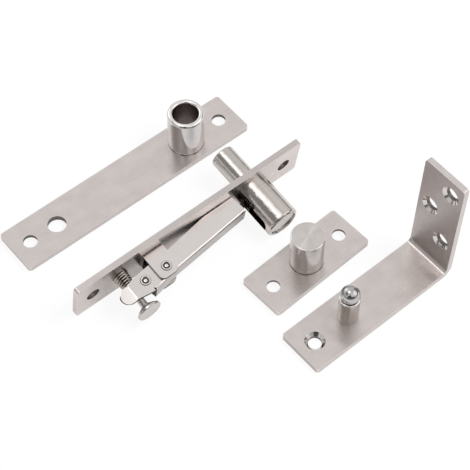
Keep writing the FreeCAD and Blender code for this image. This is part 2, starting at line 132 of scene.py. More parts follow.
# %% Rounded profiles


def turned_by(vector, angle):
    """A flat vector, turned counterclockwise."""
    c, s = math.cos(angle), math.sin(angle)
    return Vector((c * vector.x - s * vector.y, s * vector.x + c * vector.y))


def rounded_profile(corners, closed=False, steps=5):
    """Points and normals along a flat outline whose corners are rounded.

    corners are (across, up, radius). The solid lies on the left of the way along the outline.
    """
    spots = [Vector(corner[:2]) for corner in corners]
    count = len(spots)
    made = []
    for i, (here, corner) in enumerate(zip(spots, corners)):
        radius = corner[2]
        at_end = not closed and i in (0, count - 1)
        before = spots[i - 1]
        after = spots[(i + 1) % count]
        into = (here - before).normalized() if closed or i else (after - here).normalized()
        out = (after - here).normalized() if closed or i < count - 1 else into
        if at_end:
            made.append((here, Vector((out.y, -out.x))))
            continue
        turn = math.atan2(into.x * out.y - into.y * out.x, into.dot(out))
        setback = radius * math.tan(abs(turn) / 2)
        start = here - into * setback
        side = 1 if turn > 0 else -1
        centre = start + Vector((-into.y, into.x)) * radius * side
        for k in range(steps + 1):
            heading = turned_by(into, turn * k / steps)
            point = centre + turned_by(start - centre, turn * k / steps)
            made.append((point, Vector((heading.y, -heading.x))))
    return made


# %% Meshes with exact normals


def mesh_object(name, points, faces, normals=None):
    """A new object from points and faces, smooth, with its own normals where they are given."""
    mesh = bpy.data.meshes.new(name)
    mesh.from_pydata(points, [], faces)
    mesh.validate()
    mesh.polygons.foreach_set("use_smooth", [True] * len(mesh.polygons))
    if normals:
        mesh.normals_split_custom_set_from_vertices(normals)
    made = bpy.data.objects.new(name, mesh)
    bpy.context.scene.collection.objects.link(made)
    return made


def swept(name, profile, closed=False, around=128):
    """Sweep flat points and their normals round the z axis."""
    points, normals, rows = [], [], []
    for (radius, height), normal in profile:
        on_axis = radius < 1e-7
        row = []
        for k in range(1 if on_axis else around):
            angle = 2 * math.pi * k / around
            c, s = math.cos(angle), math.sin(angle)
            row.append(len(points))
            points.append((radius * c, radius * s, height))
            normals.append((0, 0, normal.y) if on_axis else (normal.x * c, normal.x * s, normal.y))
        rows.append(row * around if on_axis else row)
    faces = []
    for low, high in zip(rows, rows[1:] + (rows[:1] if closed else [])):
        for k in range(around):
            face = [low[k], low[(k + 1) % around], high[(k + 1) % around], high[k]]
            faces.append(list(dict.fromkeys(face)))
    return mesh_object(name, points, faces, normals)


def turned(name, corners, closed=False, around=128, steps=5):
    """Sweep a profile of (radius, height, round) round the z axis."""
    return swept(name, rounded_profile(corners, closed, steps), closed, around)


@contextmanager
def editing(piece):
    """A piece's mesh, open for edits."""
    work = bmesh.new()
    work.from_mesh(piece.data)
    yield work
    work.to_mesh(piece.data)
    work.free()


def faced_outwards(piece):
    """The piece, with all its faces turned outwards."""
    with editing(piece) as work:
        bmesh.ops.recalc_face_normals(work, faces=work.faces)
    return piece


# %% [markdown]
# ## Plates, drilled and eased
#
# The plates are bar stock: cut to length, corners rounded, drilled, then tumbled so that every edge is
# eased. A row of sections along the bar makes the solid, the drills are cut out of it, and a narrow
# bevel eases what the drills and the saw left sharp. A boolean is right here, because the cut faces
# are flat or round and the bevel can follow them.

# %% Sections along a bar
plate_corner = 1.5 * mm
edge_ease = 0.26 * mm


def corner_loss(distance, radius):
    """How much narrower a bar with rounded corners is at this distance from its end."""
    if distance >= radius:
        return 0.0
    return radius - math.sqrt(max(0.0, radius ** 2 - (radius - distance) ** 2))


def bar(name, sections, across, thickness):
    """Solid through sections of (middle of the face, face normal, low side, high side)."""
    points, faces = [], []
    for face_spot, normal, low, high in sections:
        back = face_spot - normal * thickness
        points += [face_spot + across * low, face_spot + across * high,
                   back + across * high, back + across * low]
    for k in range(len(sections) - 1):
        a, b = 4 * k, 4 * k + 4
        for i in range(4):
            j = (i + 1) % 4
            faces.append([a + i, a + j, b + j, b + i])
    last = 4 * (len(sections) - 1)
    faces += [[3, 2, 1, 0], [last, last + 1, last + 2, last + 3]]
    return faced_outwards(mesh_object(name, points, faces))


corner_steps = 8


def run_lengths(length, low_radius, high_radius, steps=corner_steps):
    """Distances along a bar, close together where its corners are rounded."""
    ends = [low_radius * (1 - math.cos(math.pi / 2 * k / steps)) for k in range(steps + 1)]
    far = [length - high_radius * (1 - math.cos(math.pi / 2 * k / steps)) for k in range(steps + 1)]
    return ends + far[::-1]


def settle(piece):
    """Apply a piece's modifiers."""
    graph = bpy.context.evaluated_depsgraph_get()
    mesh = bpy.data.meshes.new_from_object(piece.evaluated_get(graph))
    piece.modifiers.clear()
    old = piece.data
    piece.data = mesh
    bpy.data.meshes.remove(old)
    mesh.name = piece.name


def cut(piece, cutters, way="DIFFERENCE"):
    """Cut the cutters out of a piece, or join them to it, and remove them."""
    for cutter in cutters:
        step = piece.modifiers.new("cut", "BOOLEAN")
        step.operation = way
        step.solver = "EXACT"
        step.object = cutter
    bpy.context.view_layer.update()
    settle(piece)
    for cutter in cutters:
        mesh = cutter.data
        bpy.data.objects.remove(cutter)
        bpy.data.meshes.remove(mesh)


def ease(piece, width=edge_ease, angle=32, segments=2, finish=-1):
    """Round the sharp edges a little, and shade the rest smooth; finish is the rounds' material slot."""
    piece.data.set_sharp_from_angle(angle=math.radians(angle))
    step = piece.modifiers.new("ease", "BEVEL")
    step.width = width
    step.segments = segments
    step.limit_method = "ANGLE"
    step.angle_limit = math.radians(angle)
    step.harden_normals = True
    step.material = finish
    step.use_clamp_overlap = True
    step.miter_outer = "MITER_ARC"
    settle(piece)


def drill(x, y, radius, sink=None, sink_at_top=False, depth=plate_thickness, top=0.0, slope=1.6 * mm):
    """Cutter for a hole down through a plate, with a countersink at one face if sink is given."""
    over = 1.0 * mm
    bottom = top - depth
    wide = radius if sink is None else sink + over * (sink - radius) / slope
    if sink is None:
        side = [(radius, bottom - over), (radius, top + over)]
    elif sink_at_top:
        side = [(radius, bottom - over), (radius, top - slope), (wide, top + over)]
    else:
        side = [(wide, bottom - over), (radius, bottom + slope), (radius, top + over)]
    corners = [(0, bottom - over), *side, (0, top + over)]
    cutter = turned("cutter", [(r, z, 0.0) for r, z in corners], around=72, steps=1)
    with editing(cutter) as work:
        bmesh.ops.remove_doubles(work, verts=work.verts, dist=1e-7)
    cutter.matrix_world = Matrix.Translation((x, y, 0))
    return cutter


# %% The three flat plates
long_hole_inset = 9.0 * mm
long_hole_radius = 3.45 * mm
short_hole_inset = 8.2 * mm
short_hole_radius = 3.2 * mm
sink_radius = 4.8 * mm
long_sink_radius = 4.5 * mm
long_sink_depth = 1.05 * mm
screw_inset = 24.2 * mm
access_radius = 4.5 * mm
screw_hole_radius = 2.05 * mm
x_way, y_way, z_way = Vector((1, 0, 0)), Vector((0, 1, 0)), Vector((0, 0, 1))
pieces = {}


def keep(piece):
    """Note a finished piece under its name."""
    pieces[piece.name] = piece


def flat_plate(name, length, drills):
    """A drilled plate in its fitting's own frame."""
    sections = []
    for x in run_lengths(length, plate_corner, plate_corner):
        loss = corner_loss(x, plate_corner) + corner_loss(length - x, plate_corner)
        sections.append((Vector((x, 0, 0)), z_way, loss, plate_width - loss))
    plate = bar(name, sections, y_way, plate_thickness)
    cut(plate, drills)
    ease(plate)
    keep(plate)


socket_bore_radius = 6.05 * mm
socket_radius = socket_bore_radius + 2.75 * mm
barrel_radius = 8.5 * mm
spigot_step = 1.2 * mm
cup_radius = 7.88 * mm
seat_gap = 0.02 * mm
pin_x = long_plate_length - pivot_inset
cup_x = short_plate_length / 2


def end_holes(length, inset, radius, sink, slope=1.6 * mm):
    """Cutters for a plate's two screw holes, one near each end."""
    return [drill(x, middle, radius, sink, slope=slope) for x in (inset, length - inset)]


long_end_holes = (long_plate_length, long_hole_inset, long_hole_radius, long_sink_radius, long_sink_depth)
flat_plate("socket_plate_satin", long_plate_length, end_holes(*long_end_holes) + [
    drill(screw_inset, middle, access_radius),
    drill(pin_x, middle, socket_radius + seat_gap)])
flat_plate("pivot_plate_satin", long_plate_length, end_holes(*long_end_holes) + [
    drill(screw_inset, middle, screw_hole_radius),
    drill(pin_x, middle, barrel_radius - spigot_step + seat_gap)])
short_end_holes = (short_plate_length, short_hole_inset, short_hole_radius, sink_radius)
flat_plate("cup_plate_satin", short_plate_length, end_holes(*short_end_holes) + [
    drill(cup_x, middle, cup_radius + seat_gap)])
print("plates", {name: len(piece.data.polygons) for name, piece in pieces.items()})

# %% [markdown]
# ## The L bracket
#
# The bracket is the same bar, bent once while flat and drilled after. The sections follow the base,
# turn round the inner radius and climb the upright, which leans a little past square, as a bend that
# has sprung back does. The three holes of the upright are staggered so that their screws don't split
# the jamb.

# %% Bend and drill the bracket
base_length = 82.1 * mm
base_hole_inset = 9.2 * mm
upright_height = 63.0 * mm
lean = math.radians(1.95)
bend_radius = 2.5 * mm
bend_steps = 14
half = plate_thickness / 2
fold_x = base_length - half
face_x = fold_x - half / math.cos(lean) + half * math.tan(lean)
rise = upright_height - plate_thickness
upright_way = Vector((math.sin(lean), 0, math.cos(lean)))
inward_way = Vector((-math.cos(lean), 0, math.sin(lean)))
turn_angle = math.pi / 2 - lean
bend_setback = bend_radius * math.tan(turn_angle / 2)


def bracket_sections():
    """Sections along the inner face of the L."""
    sections = []
    for x in run_lengths(face_x - bend_setback, plate_corner, 0.0)[:-1]:
        loss = corner_loss(x, plate_corner)
        sections.append((Vector((x, 0, 0)), z_way, loss, plate_width - loss))
    centre = Vector((face_x - bend_setback, 0, bend_radius))
    for k in range(bend_steps + 1):
        angle = turn_angle * k / bend_steps
        outward = Vector((math.sin(angle), 0, -math.cos(angle)))
        sections.append((centre + outward * bend_radius, -outward, 0.0, plate_width))
    top = Vector((fold_x + (rise + half) * math.tan(lean), 0, rise)) + inward_way * half
    foot = Vector((face_x, 0, 0)) + upright_way * bend_setback
    climb = (top - foot).length
    for s in run_lengths(climb, 0.0, plate_corner)[corner_steps + 1:]:
        loss = corner_loss(climb - s, plate_corner)
        sections.append((foot + upright_way * s, inward_way, loss, plate_width - loss))
    return sections


upright_turn = Matrix((inward_way.cross(y_way) * -1, y_way, inward_way)).transposed().to_4x4()
low_hole = 20.0 * mm
top_hole = upright_height - 9.0 * mm
stagger = 4.8 * mm
jamb_sink_slope = 1.15 * mm
pin_spigot_radius = 3.6 * mm
jamb_holes = []
jamb_drills = [drill(base_hole_inset, middle, short_hole_radius, sink_radius, sink_at_top=True),
               drill(pivot_inset, middle, pin_spigot_radius + seat_gap)]
for number, height in enumerate((low_hole, (low_hole + top_hole) / 2, top_hole)):
    aside = stagger if number % 2 else -stagger
    cutter = drill(0, 0, short_hole_radius, sink_radius, sink_at_top=True, slope=jamb_sink_slope)
    along = (height - plate_thickness) / upright_way.z
    hole_spot = Vector((face_x, middle + aside, 0)) + upright_way * along
    cutter.matrix_world = Matrix.Translation(hole_spot) @ upright_turn
    jamb_drills.append(cutter)
    jamb_holes.append(hole_spot)
bracket = bar("jamb_bracket_satin", bracket_sections(), y_way, plate_thickness)
cut(bracket, jamb_drills)
ease(bracket)
keep(bracket)
print("bracket faces", len(bracket.data.polygons), "lean in degrees", round(math.degrees(lean), 2))

# %% [markdown]
# ## Turned pieces
#
# The socket, the barrel, the cup, both pins and the ball come off a lathe. Each is one profile with the
# rounds that the photograph shows: a fat polished lip on the socket, a fine line round the cup, a
# bright ring round the seat of the ball.

# %% Socket, cup, lower pin and ball
socket_height = 21.8 * mm
foot_groove = 0.35 * mm


def foot_of(radius):
    """Corners of a post where it leaves its plate: a shallow groove under a rounded lip."""
    return [(radius, -plate_thickness, 0.15 * mm), (radius, -foot_groove, 0.05 * mm),
            (radius - foot_groove, 0.05 * mm, 0.05 * mm), (radius - foot_groove * 0.4, 0.12 * mm, 0.1 * mm),
            (radius, 0.75 * mm, 0.3 * mm)]


keep(turned("pin_socket_polished", [
    (socket_bore_radius, -plate_thickness, 0.15 * mm), *foot_of(socket_radius),
    (socket_radius, socket_height, 1.5 * mm), (socket_bore_radius, socket_height, 1.2 * mm)],
    closed=True, around=160, steps=12))
pin_reach_up = 15.6 * mm
ball_rise = 2.5 * mm
ball_radius = 4.5 * mm
lower_pin_radius = 4.8 * mm
bracket_to_cup_plate, cup_end, cup_wall = 2.0 * mm, 2.2 * mm, 3.0 * mm
cup_bore_depth = pin_reach_up + ball_rise + ball_radius - bracket_to_cup_plate
cup_height = cup_bore_depth - plate_thickness + cup_end
cup_bore_radius = cup_radius - cup_wall
keep(turned("pivot_cup_turned", [
    (0, cup_bore_depth - plate_thickness, 0), (cup_bore_radius, cup_bore_depth - plate_thickness, 0.3 * mm),
    (cup_bore_radius, -plate_thickness, 0.15 * mm), *foot_of(cup_radius),
    (cup_radius, cup_height, 0.45 * mm), (0, cup_height, 0)], around=160, steps=6))
seat_play = 0.05 * mm
seat_mouth = math.sqrt((ball_radius + seat_play) ** 2 - ball_rise ** 2)
seat_depth = seat_mouth ** 2 / ball_rise
spigot_radius = lower_pin_radius - spigot_step
keep(turned("lower_pin_ground", [
    (0, -plate_thickness, 0), (spigot_radius, -plate_thickness, 0.15 * mm),
    (spigot_radius, 0, 0.05 * mm), (lower_pin_radius, 0, 0.1 * mm),
    (lower_pin_radius, pin_reach_up, 0.55 * mm), (seat_mouth, pin_reach_up, 0.08 * mm),
    (0, pin_reach_up - seat_depth, 0)], steps=6))
ball_arc = 48
half_circle = []
for k in range(ball_arc + 1):
    c, s = math.cos(math.pi * k / ball_arc), math.sin(math.pi * k / ball_arc)
    half_circle.append(((ball_radius * s, -ball_radius * c), Vector((s, -c))))
keep(swept("pivot_ball_polished", half_circle, around=96))
print("cup stands", round(cup_height / mm, 2), "mm above its plate")

# %% Barrel, its cap and the pin
barrel_length = 23.8 * mm
barrel_bore_radius = 6.25 * mm
cap_radius = 7.1 * mm
cap_recess, cap_thickness = 0.25 * mm, 1.4 * mm
cap_seat = barrel_length - cap_recess - cap_thickness
cap_face = cap_seat + 0.7 * mm
lip_radius = 6.9 * mm
barrel = turned("pin_barrel_bright", [
    (barrel_bore_radius, -plate_thickness, 0.12 * mm),
    (barrel_radius - spigot_step, -plate_thickness, 0.12 * mm),
    (barrel_radius - spigot_step, 0, 0.05 * mm), (barrel_radius, 0, 0.1 * mm),
    (barrel_radius, barrel_length, 1.35 * mm), (lip_radius, barrel_length, 0.2 * mm),
    (lip_radius - 0.1 * mm, cap_face + 0.1 * mm, 0.1 * mm), (cap_radius + seat_gap, cap_face, 0.05 * mm),
    (cap_radius + seat_gap, cap_seat, 0.1 * mm), (barrel_bore_radius, cap_seat, 0.1 * mm)],
    closed=True, around=160, steps=6)
slot_half = 2.9 * mm
slot_length = 21.0 * mm


def slot_cutter(half_width, low, high, reach):
    """Cutter for a slot with a round top, from the axis out towards -x."""
    outline = [(-half_width, low), (half_width, low)]
    arc_steps = 16
    for k in range(arc_steps + 1):
        angle = math.pi * k / arc_steps
        outline.append((half_width * math.cos(angle), high - half_width + half_width * math.sin(angle)))
    near = [(0.0, y, z) for y, z in outline]
    far = [(-reach, y, z) for y, z in outline]
    count = len(outline)
    faces = [list(range(count)), list(range(2 * count - 1, count - 1, -1))]
    faces += [[k, k + count, (k + 1) % count + count, (k + 1) % count] for k in range(count)]
    return faced_outwards(mesh_object("cutter", near + far, faces))


cut(barrel, [slot_cutter(slot_half, 0.05 * mm, slot_length, 2 * barrel_radius)])
ease(barrel, width=0.12 * mm, angle=40)
keep(barrel)
keep(turned("barrel_end_cap_bright", [
    (0, cap_seat, 0), (cap_radius, cap_seat, 0.1 * mm), (cap_radius, cap_face - 0.1 * mm, 0.08 * mm),
    (lip_radius - 0.25 * mm, cap_face - 0.05 * mm, 0.05 * mm),
    (lip_radius - 0.4 * mm, cap_face + 0.1 * mm, 0.1 * mm), (0, cap_face + 0.1 * mm, 0)]))
pin_radius = 6.0 * mm
pin_tip = -plate_thickness - 18.5 * mm
pin_tail = 6.8 * mm
guide_radius = 6.2 * mm
tongue_tip_z = 2.8 * mm
tongue_tip_radius = 1.6 * mm
pin = turned("pivot_pin_ground", [
    (0, pin_tip, 0), (pin_radius, pin_tip, 0.9 * mm), (pin_radius, -plate_thickness, 0.04 * mm),
    (guide_radius, -plate_thickness, 0.1 * mm), (guide_radius, pin_tail, 0.3 * mm), (0, pin_tail, 0)],
    steps=6)


def block(low, high):
    """Plain cutter between two corners."""
    xs, ys, zs = zip(low, high)
    points = [(x, y, z) for x in xs for y in ys for z in zs]
    faces = [(0, 1, 3, 2), (4, 6, 7, 5), (0, 4, 5, 1), (2, 3, 7, 6), (0, 2, 6, 4), (1, 5, 7, 3)]
    return mesh_object("cutter", points, faces)


slot_high = tongue_tip_radius + 0.1 * mm
slot_floor_x = 2.7 * mm
cut(pin, [block((-2 * pin_radius, -2 * pin_radius, tongue_tip_z - slot_high),
                (slot_floor_x, 2 * pin_radius, tongue_tip_z + slot_high))])
ease(pin, width=0.1 * mm, angle=40)
keep(pin)
print("barrel and pin", len(barrel.data.polygons), len(pin.data.polygons), "faces")

# %% [markdown]
# ## The lever
#
# The lever is one blank of sheet, folded into a channel: two flanges, the web that joins them along the
# back, two tongues at the nose that hug the screw, and a narrow tongue that reaches into the barrel.
# It is drawn as the outer skin of the folded sheet, section by section, and then given its thickness
# inwards, which is how folding leaves it. The holes for the rivets come last.

# %% Outline and sections of the lever
sheet = 1.3 * mm
fold_round = 1.2 * mm
half_high = 4.4 * mm
nose_x = 22.3 * mm
web_start_x = 32.0 * mm
low_edge = [(22.3, 7.2), (27.0, 5.9), (32.0, 5.3), (48.5, 3.9), (71.5, 0.5), (88.5, 0.5)]
back_edge = [(22.3, 15.4), (32.0, 16.6), (45.0, 14.0), (89.5, 9.6)]
flange_end_x = 88.5 * mm
back_end_x = 89.5 * mm
flange_rows = 6
bend_rows = 6
nose_bend_rows = 5
nose_tongue_rows = 9
nose_tongue_length = 6.1 * mm
nose_bend_radius = 0.9 * mm
blunt_tip = 0.12 * mm
web_edge_y = 2.5 * mm
shoulder_xs = (23.4, 25.5, 28.6, 31.2)
web_xs = (32.0, 36.0, 40.5, 45.0, 48.5, 55.0, 63.0, 71.5, 80.0, 86.0)
nose_low = low_edge[0][1] * mm
upper_nose = {"fold": math.radians(23), "back": (15.4 * mm, 16.6 * mm)}
lower_nose = {"fold": math.radians(33), "back": (12.8 * mm, 13.6 * mm)}


def height_on(edge, x):
    """Height of an edge of the lever at a place along it."""
    for (x0, z0), (x1, z1) in zip(edge, edge[1:]):
        if x <= x1 * mm:
            break
    share = (x / mm - x0) / (x1 - x0)
    return (z0 + (z1 - z0) * max(0.0, min(1.0, share))) * mm


def flange_column(x, y, low, top):
    """Points up a flange, from its free edge towards the web."""
    return [Vector((x, y, low + (top - low) * k / flange_rows)) for k in range(flange_rows + 1)]


def lever_skin(shape):
    """Outer skin of one half of the channel and its nose tongue, on the upper side of the middle line."""
    points, faces = [], []

    def add(column):
        first = len(points)
        points.extend(column)
        return list(range(first, first + len(column)))

    def join(left, right):
        for k in range(len(left) - 1):
            faces.append([left[k], right[k], right[k + 1], left[k + 1]])

    near_back, far_back = shape["back"]
    wide = (near_back - nose_low) / 2
    centre_z = (near_back + nose_low) / 2
    fold_angle = shape["fold"]
    fold_setback = nose_bend_radius * math.tan(fold_angle / 2)
    columns = []
    straight = nose_tongue_length - wide
    round_end = [nose_tongue_length - wide * (1 - math.cos(math.pi / 2 * k / nose_tongue_rows))
                 for k in range(nose_tongue_rows + 1)]
    for s in round_end + [straight * 0.5, fold_setback]:
        inward = max(0.0, s - straight)
        tall = math.sqrt(max(wide ** 2 - inward ** 2, blunt_tip ** 2))
        x = nose_x - s * math.cos(fold_angle)
        y = half_high - s * math.sin(fold_angle)
        columns.append((x, y, centre_z - tall, centre_z + tall))
    for k in range(nose_bend_rows, 0, -1):
        angle = fold_angle * (k - 0.5) / nose_bend_rows
        x = nose_x + fold_setback - nose_bend_radius * math.sin(angle)
        y = half_high - nose_bend_radius * (1 - math.cos(angle))
        columns.append((x, y, nose_low, near_back))
    start, end = low_edge[0][0], shoulder_xs[-1]
    for x in shoulder_xs:
        back = near_back + (far_back - near_back) * (x - start) / (end - start)
        columns.append((x * mm, half_high, height_on(low_edge, x * mm), back))
    nose = []
    for x, y, low, high in columns:
        top = high - fold_round * (high - low) / (2 * wide)
        nose.append(add(flange_column(x, y, low, top) + [Vector((x, y, high))]))
    for left, right in zip(nose, nose[1:]):
        join(left, right)
    body = []
    for x in [x * mm for x in web_xs] + [None]:
        last = x is None
        x = flange_end_x if last else x
        low = height_on(low_edge, x)
        back_x = back_end_x if last else x
        back = height_on(back_edge, back_x)
        column = flange_column(x, half_high, low, back - fold_round)
        if last:
            for k, point in enumerate(column):
                point.x += (back_end_x - flange_end_x) * k / flange_rows
        for k in range(1, bend_rows + 1):
            angle = math.pi / 2 * k / bend_rows
            column.append(Vector((back_x, half_high - fold_round * (1 - math.cos(angle)),
                                  back - fold_round * (1 - math.sin(angle)))))
        column += [Vector((back_x, web_edge_y, back)), Vector((back_x, 0.0, back))]
        body.append(add(column))
    join(nose[-1][:flange_rows + 1], body[0][:flange_rows + 1])
    for left, right in zip(body, body[1:]):
        join(left, right)
    return points, faces


def make_lever():
    """Both halves of the skin, the lower one mirrored, joined and thickened."""
    points, faces = lever_skin(upper_nose)
    low_points, low_faces = lever_skin(lower_nose)
    count = len(points)
    points += [Vector((point.x, -point.y, point.z)) for point in low_points]
    faces += [[count + i for i in reversed(face)] for face in low_faces]
    lever = mesh_object("retracting_lever_plated", points, faces)
    with editing(lever) as work:
        bmesh.ops.remove_doubles(work, verts=work.verts, dist=1e-6)
        bmesh.ops.recalc_face_normals(work, faces=work.faces)
        top = max(work.faces, key=lambda face: face.calc_center_median().y)
        if top.normal.y < 0:
            bmesh.ops.reverse_faces(work, faces=work.faces)
    # Slot 1 takes the rims of the folded sheet; it is coloured near black later on, as painted shade.
    for _ in range(2):
        lever.data.materials.append(None)
    thick = lever.modifiers.new("sheet", "SOLIDIFY")
    thick.material_offset_rim = 1
    thick.thickness = sheet
    thick.offset = -1
    thick.use_even_offset = True
    settle(lever)
    return lever


def sideways(x, z, y=0.0):
    """Matrix to an axis that runs across a fitting."""
    return Matrix.Translation((x, y, z)) @ Matrix.Rotation(math.pi / 2, 4, "X")


lever = make_lever()
knee_x = pin_x - barrel_radius - 0.6 * mm
swing_degrees = 14.54
tilt = math.tan(math.radians(swing_degrees / 2))
tongue_half = 2.5 * mm
tongue_bend = 1.4 * mm
brow_x = back_end_x - sheet / 2
brow_z = height_on(back_edge, brow_x) - sheet / 2
tongue_line = [(brow_x - 4 * mm, height_on(back_edge, brow_x - 4 * mm) - sheet / 2, 0),
               (brow_x, brow_z, tongue_bend),
               (knee_x, tongue_tip_z + (pin_x - knee_x) * tilt, tongue_bend),
               (pin_x, tongue_tip_z, 0)]
tongue_sections = []
for point, normal in rounded_profile(tongue_line, steps=8):
    up = Vector((-normal.x, 0, -normal.y))
    outer = Vector((point.x, 0, point.y)) + up * sheet / 2
    tongue_sections.append((outer, up, -tongue_half, tongue_half))
tongue = bar("tongue", tongue_sections, y_way, sheet)
tip = turned("tip", [(0, -tongue_half, 0), (tongue_tip_radius, -tongue_half, 0.2 * mm),
                     (tongue_tip_radius, tongue_half, 0.2 * mm), (0, tongue_half, 0)], around=48, steps=2)
tip.matrix_world = sideways(pin_x, tongue_tip_z)
cut(lever, [tongue, tip], way="UNION")
fulcrum = (42.2 * mm, 10.3 * mm)
tie = (30.5 * mm, 10.1 * mm)
hole_radius = 2.05 * mm


def cross_drill(x, z):
    """Cutter for a rivet's hole right across a fitting's width."""
    cutter = drill(0, 0, hole_radius, depth=20 * mm, top=10 * mm)
    cutter.matrix_world = sideways(x, z)
    return cutter


# The bevels of the sheet parts go into slot 1 and take the same near-black painted shade as their cut edges.
sheet_ease = {"width": 0.18 * mm, "angle": 38, "finish": 1}
cut(lever, [cross_drill(*fulcrum), cross_drill(*tie)])
ease(lever, **sheet_ease)
keep(lever)
print("lever faces", len(lever.data.polygons))

# %% Bracket that carries the lever
bracket_sheet = 1.2 * mm
bracket_near = 36.4 * mm
bracket_far = bracket_near + 11.0 * mm
ear_height = 15.1 * mm
ear_inner = half_high + 0.1 * mm
near_round, far_round = 2.5 * mm, 4.5 * mm
ear_steps = 10


def make_bracket():
    """U of sheet that stands on the plate, an ear on each side of the lever."""
    line = [(-ear_inner, ear_height, 0), (-ear_inner, bracket_sheet, 0.5 * mm),
            (ear_inner, bracket_sheet, 0.5 * mm), (ear_inner, ear_height, 0)]
    bends = rounded_profile(line, steps=6)
    path = [bends[0]]
    for s in run_lengths(far_round, 0.0, far_round, ear_steps)[ear_steps + 2:]:
        path.insert(1, (Vector((-ear_inner, ear_height - far_round + s)), bends[0][1]))
    path += bends[1:-1]
    for s in run_lengths(far_round, 0.0, far_round, ear_steps)[ear_steps + 1:-1]:
        path.append((Vector((ear_inner, ear_height - far_round + s)), bends[-1][1]))
    path.append(bends[-1])
    sections = []
    for point, normal in path:
        inward = Vector((0, -normal.x, -normal.y))
        below = ear_height - point.y
        low = bracket_near + corner_loss(below, near_round)
        high = bracket_far - corner_loss(below, far_round)
        sections.append((Vector((0, point.x, point.y)), inward, low, high))
    made = bar("lever_bracket_plated", sections, x_way, bracket_sheet)
    for _ in range(2):
        made.data.materials.append(None)
    # The side edges and the ends of the bracket's sheet go into slot 1, which is coloured near black later on:
    # painted shade.
    for number, polygon in enumerate(made.data.polygons):
        polygon.material_index = 1 if number % 4 in (1, 3) or number >= 4 * (len(sections) - 1) else 0
    return made


carrier = make_bracket()
cut(carrier, [cross_drill(*fulcrum)])
ease(carrier, **sheet_ease)
keep(carrier)
print("bracket faces", len(carrier.data.polygons))

# %% [markdown]
# ## Rivets, screw and spring
#
# The rivets are tubes whose ends are rolled over, so each shows a bright ring round its bore, with
# the domed end of its stem just below; the dark bore, the stem's ends and the dark outline round each
# head are painted shade, given with the finishes. The screw has a real thread, cut as a groove that
# climbs its neck. The spring is wire wound on a mandrel, a little wider at its foot, with its end turns
# closed up so that it stands square.

# %% Hollow rivets
rivet_bore = 1.5 * mm
rivet_shank = 2.0 * mm
rivet_head = 2.6 * mm
rivet_roll = 0.45 * mm
rivets = {"fulcrum_rivet_bright": ear_inner + bracket_sheet, "tie_rivet_bright": half_high}


def hollow_rivet(name, half_grip):
    """Tube with both ends rolled outwards, and the domed ends of its stem inside."""
    tip_z = half_grip + rivet_roll
    upper = [(rivet_shank, half_grip, 0.03 * mm), (rivet_head, half_grip, 0.06 * mm),
             (rivet_head - 0.3 * mm, tip_z, 0.28 * mm), (rivet_bore + 0.3 * mm, tip_z, 0.15 * mm),
             (rivet_bore, tip_z - 0.35 * mm, 0.1 * mm), (rivet_bore, tip_z - 0.95 * mm, 0.05 * mm),
             (1.0 * mm, tip_z - 0.9 * mm, 0.05 * mm), (0.9 * mm, tip_z - 0.3 * mm, 0.25 * mm),
             (0, tip_z - 0.05 * mm, 0)]
    lower = [(radius, -height, corner) for radius, height, corner in reversed(upper)]
    return turned(name, lower + upper, around=72)


for name, half_grip in rivets.items():
    keep(hollow_rivet(name, half_grip))
print("rivets", sorted(rivets))

# %% Adjusting screw
neck_radius = 2.0 * mm
head_radius = 6.0 * mm
head_low = 18.5 * mm
head_face = 22.0 * mm
thread_pitch = 0.7 * mm
thread_depth = 0.36 * mm
screw_tip = -plate_thickness + 0.2 * mm


def threaded_neck(name, low, high, around=48, steps_a_turn=8):
    """Neck with a groove that climbs it, faded out near its head."""
    rows = int((high - low) / thread_pitch * steps_a_turn)
    points, faces = [(0, 0, low)], []
    fade_start = high - 4.0 * mm
    for j in range(rows + 1):
        z = low + (high - low) * j / rows
        fade = max(0.0, min(1.0, (high - z) / (high - fade_start)))
        start = max(0.0, 1 - (z - low) / thread_pitch)
        for k in range(around):
            turn = k / around
            climb = (z / thread_pitch - turn) % 1.0
            groove = 1 - abs(2 * climb - 1)
            radius = neck_radius - thread_depth * max(groove * min(1.0, 4 * fade), start)
            angle = 2 * math.pi * turn
            points.append((radius * math.cos(angle), radius * math.sin(angle), z))
    for j in range(rows):
        for k in range(around):
            a = 1 + j * around + k
            b = 1 + j * around + (k + 1) % around
            faces.append([a, b, b + around, a + around])
    top = len(points)
    points.append((0, 0, high))
    for k in range(around):
        faces.append([0, 1 + (k + 1) % around, 1 + k])
        faces.append([top, 1 + rows * around + k, 1 + rows * around + (k + 1) % around])
    return mesh_object(name, points, faces)


screw = turned("adjusting_screw_satin", [
    (0, head_low, 0), (neck_radius + 0.5 * mm, head_low, 0.1 * mm),
    (head_radius - 1.3 * mm, head_face - 2.2 * mm, 0.1 * mm),
    (head_radius - 1.4 * mm, head_face - 1.65 * mm, 0.1 * mm),
    (head_radius, head_face - 1.45 * mm, 0.5 * mm), (head_radius, head_face, 0.4 * mm),
    (head_radius - 0.8 * mm, head_face, 0.2 * mm), (head_radius - 1.2 * mm, head_face - 0.12 * mm, 0.2 * mm),
    (0, head_face - 0.12 * mm, 0)], steps=6)
neck = threaded_neck("neck", screw_tip, head_low + 0.3 * mm)
slot_reach, slot_half_width, slot_depth = 4 * mm, 0.45 * mm, 1 * mm
cut(neck, [block((-slot_reach, -slot_half_width, screw_tip - slot_depth),
                 (slot_reach, slot_half_width, screw_tip + slot_depth))])
cut(screw, [neck], way="UNION")
screw.data.set_sharp_from_angle(angle=math.radians(40))
keep(screw)
print("screw faces", len(screw.data.polygons))

# %% Return spring
wire_radius = 0.42 * mm
top_coil_radius = neck_radius + 0.25 * mm + wire_radius
foot_coil_radius = top_coil_radius + 1.05 * mm
spring_low = 0.02 * mm
spring_high = 7.1 * mm
turns = 5.5


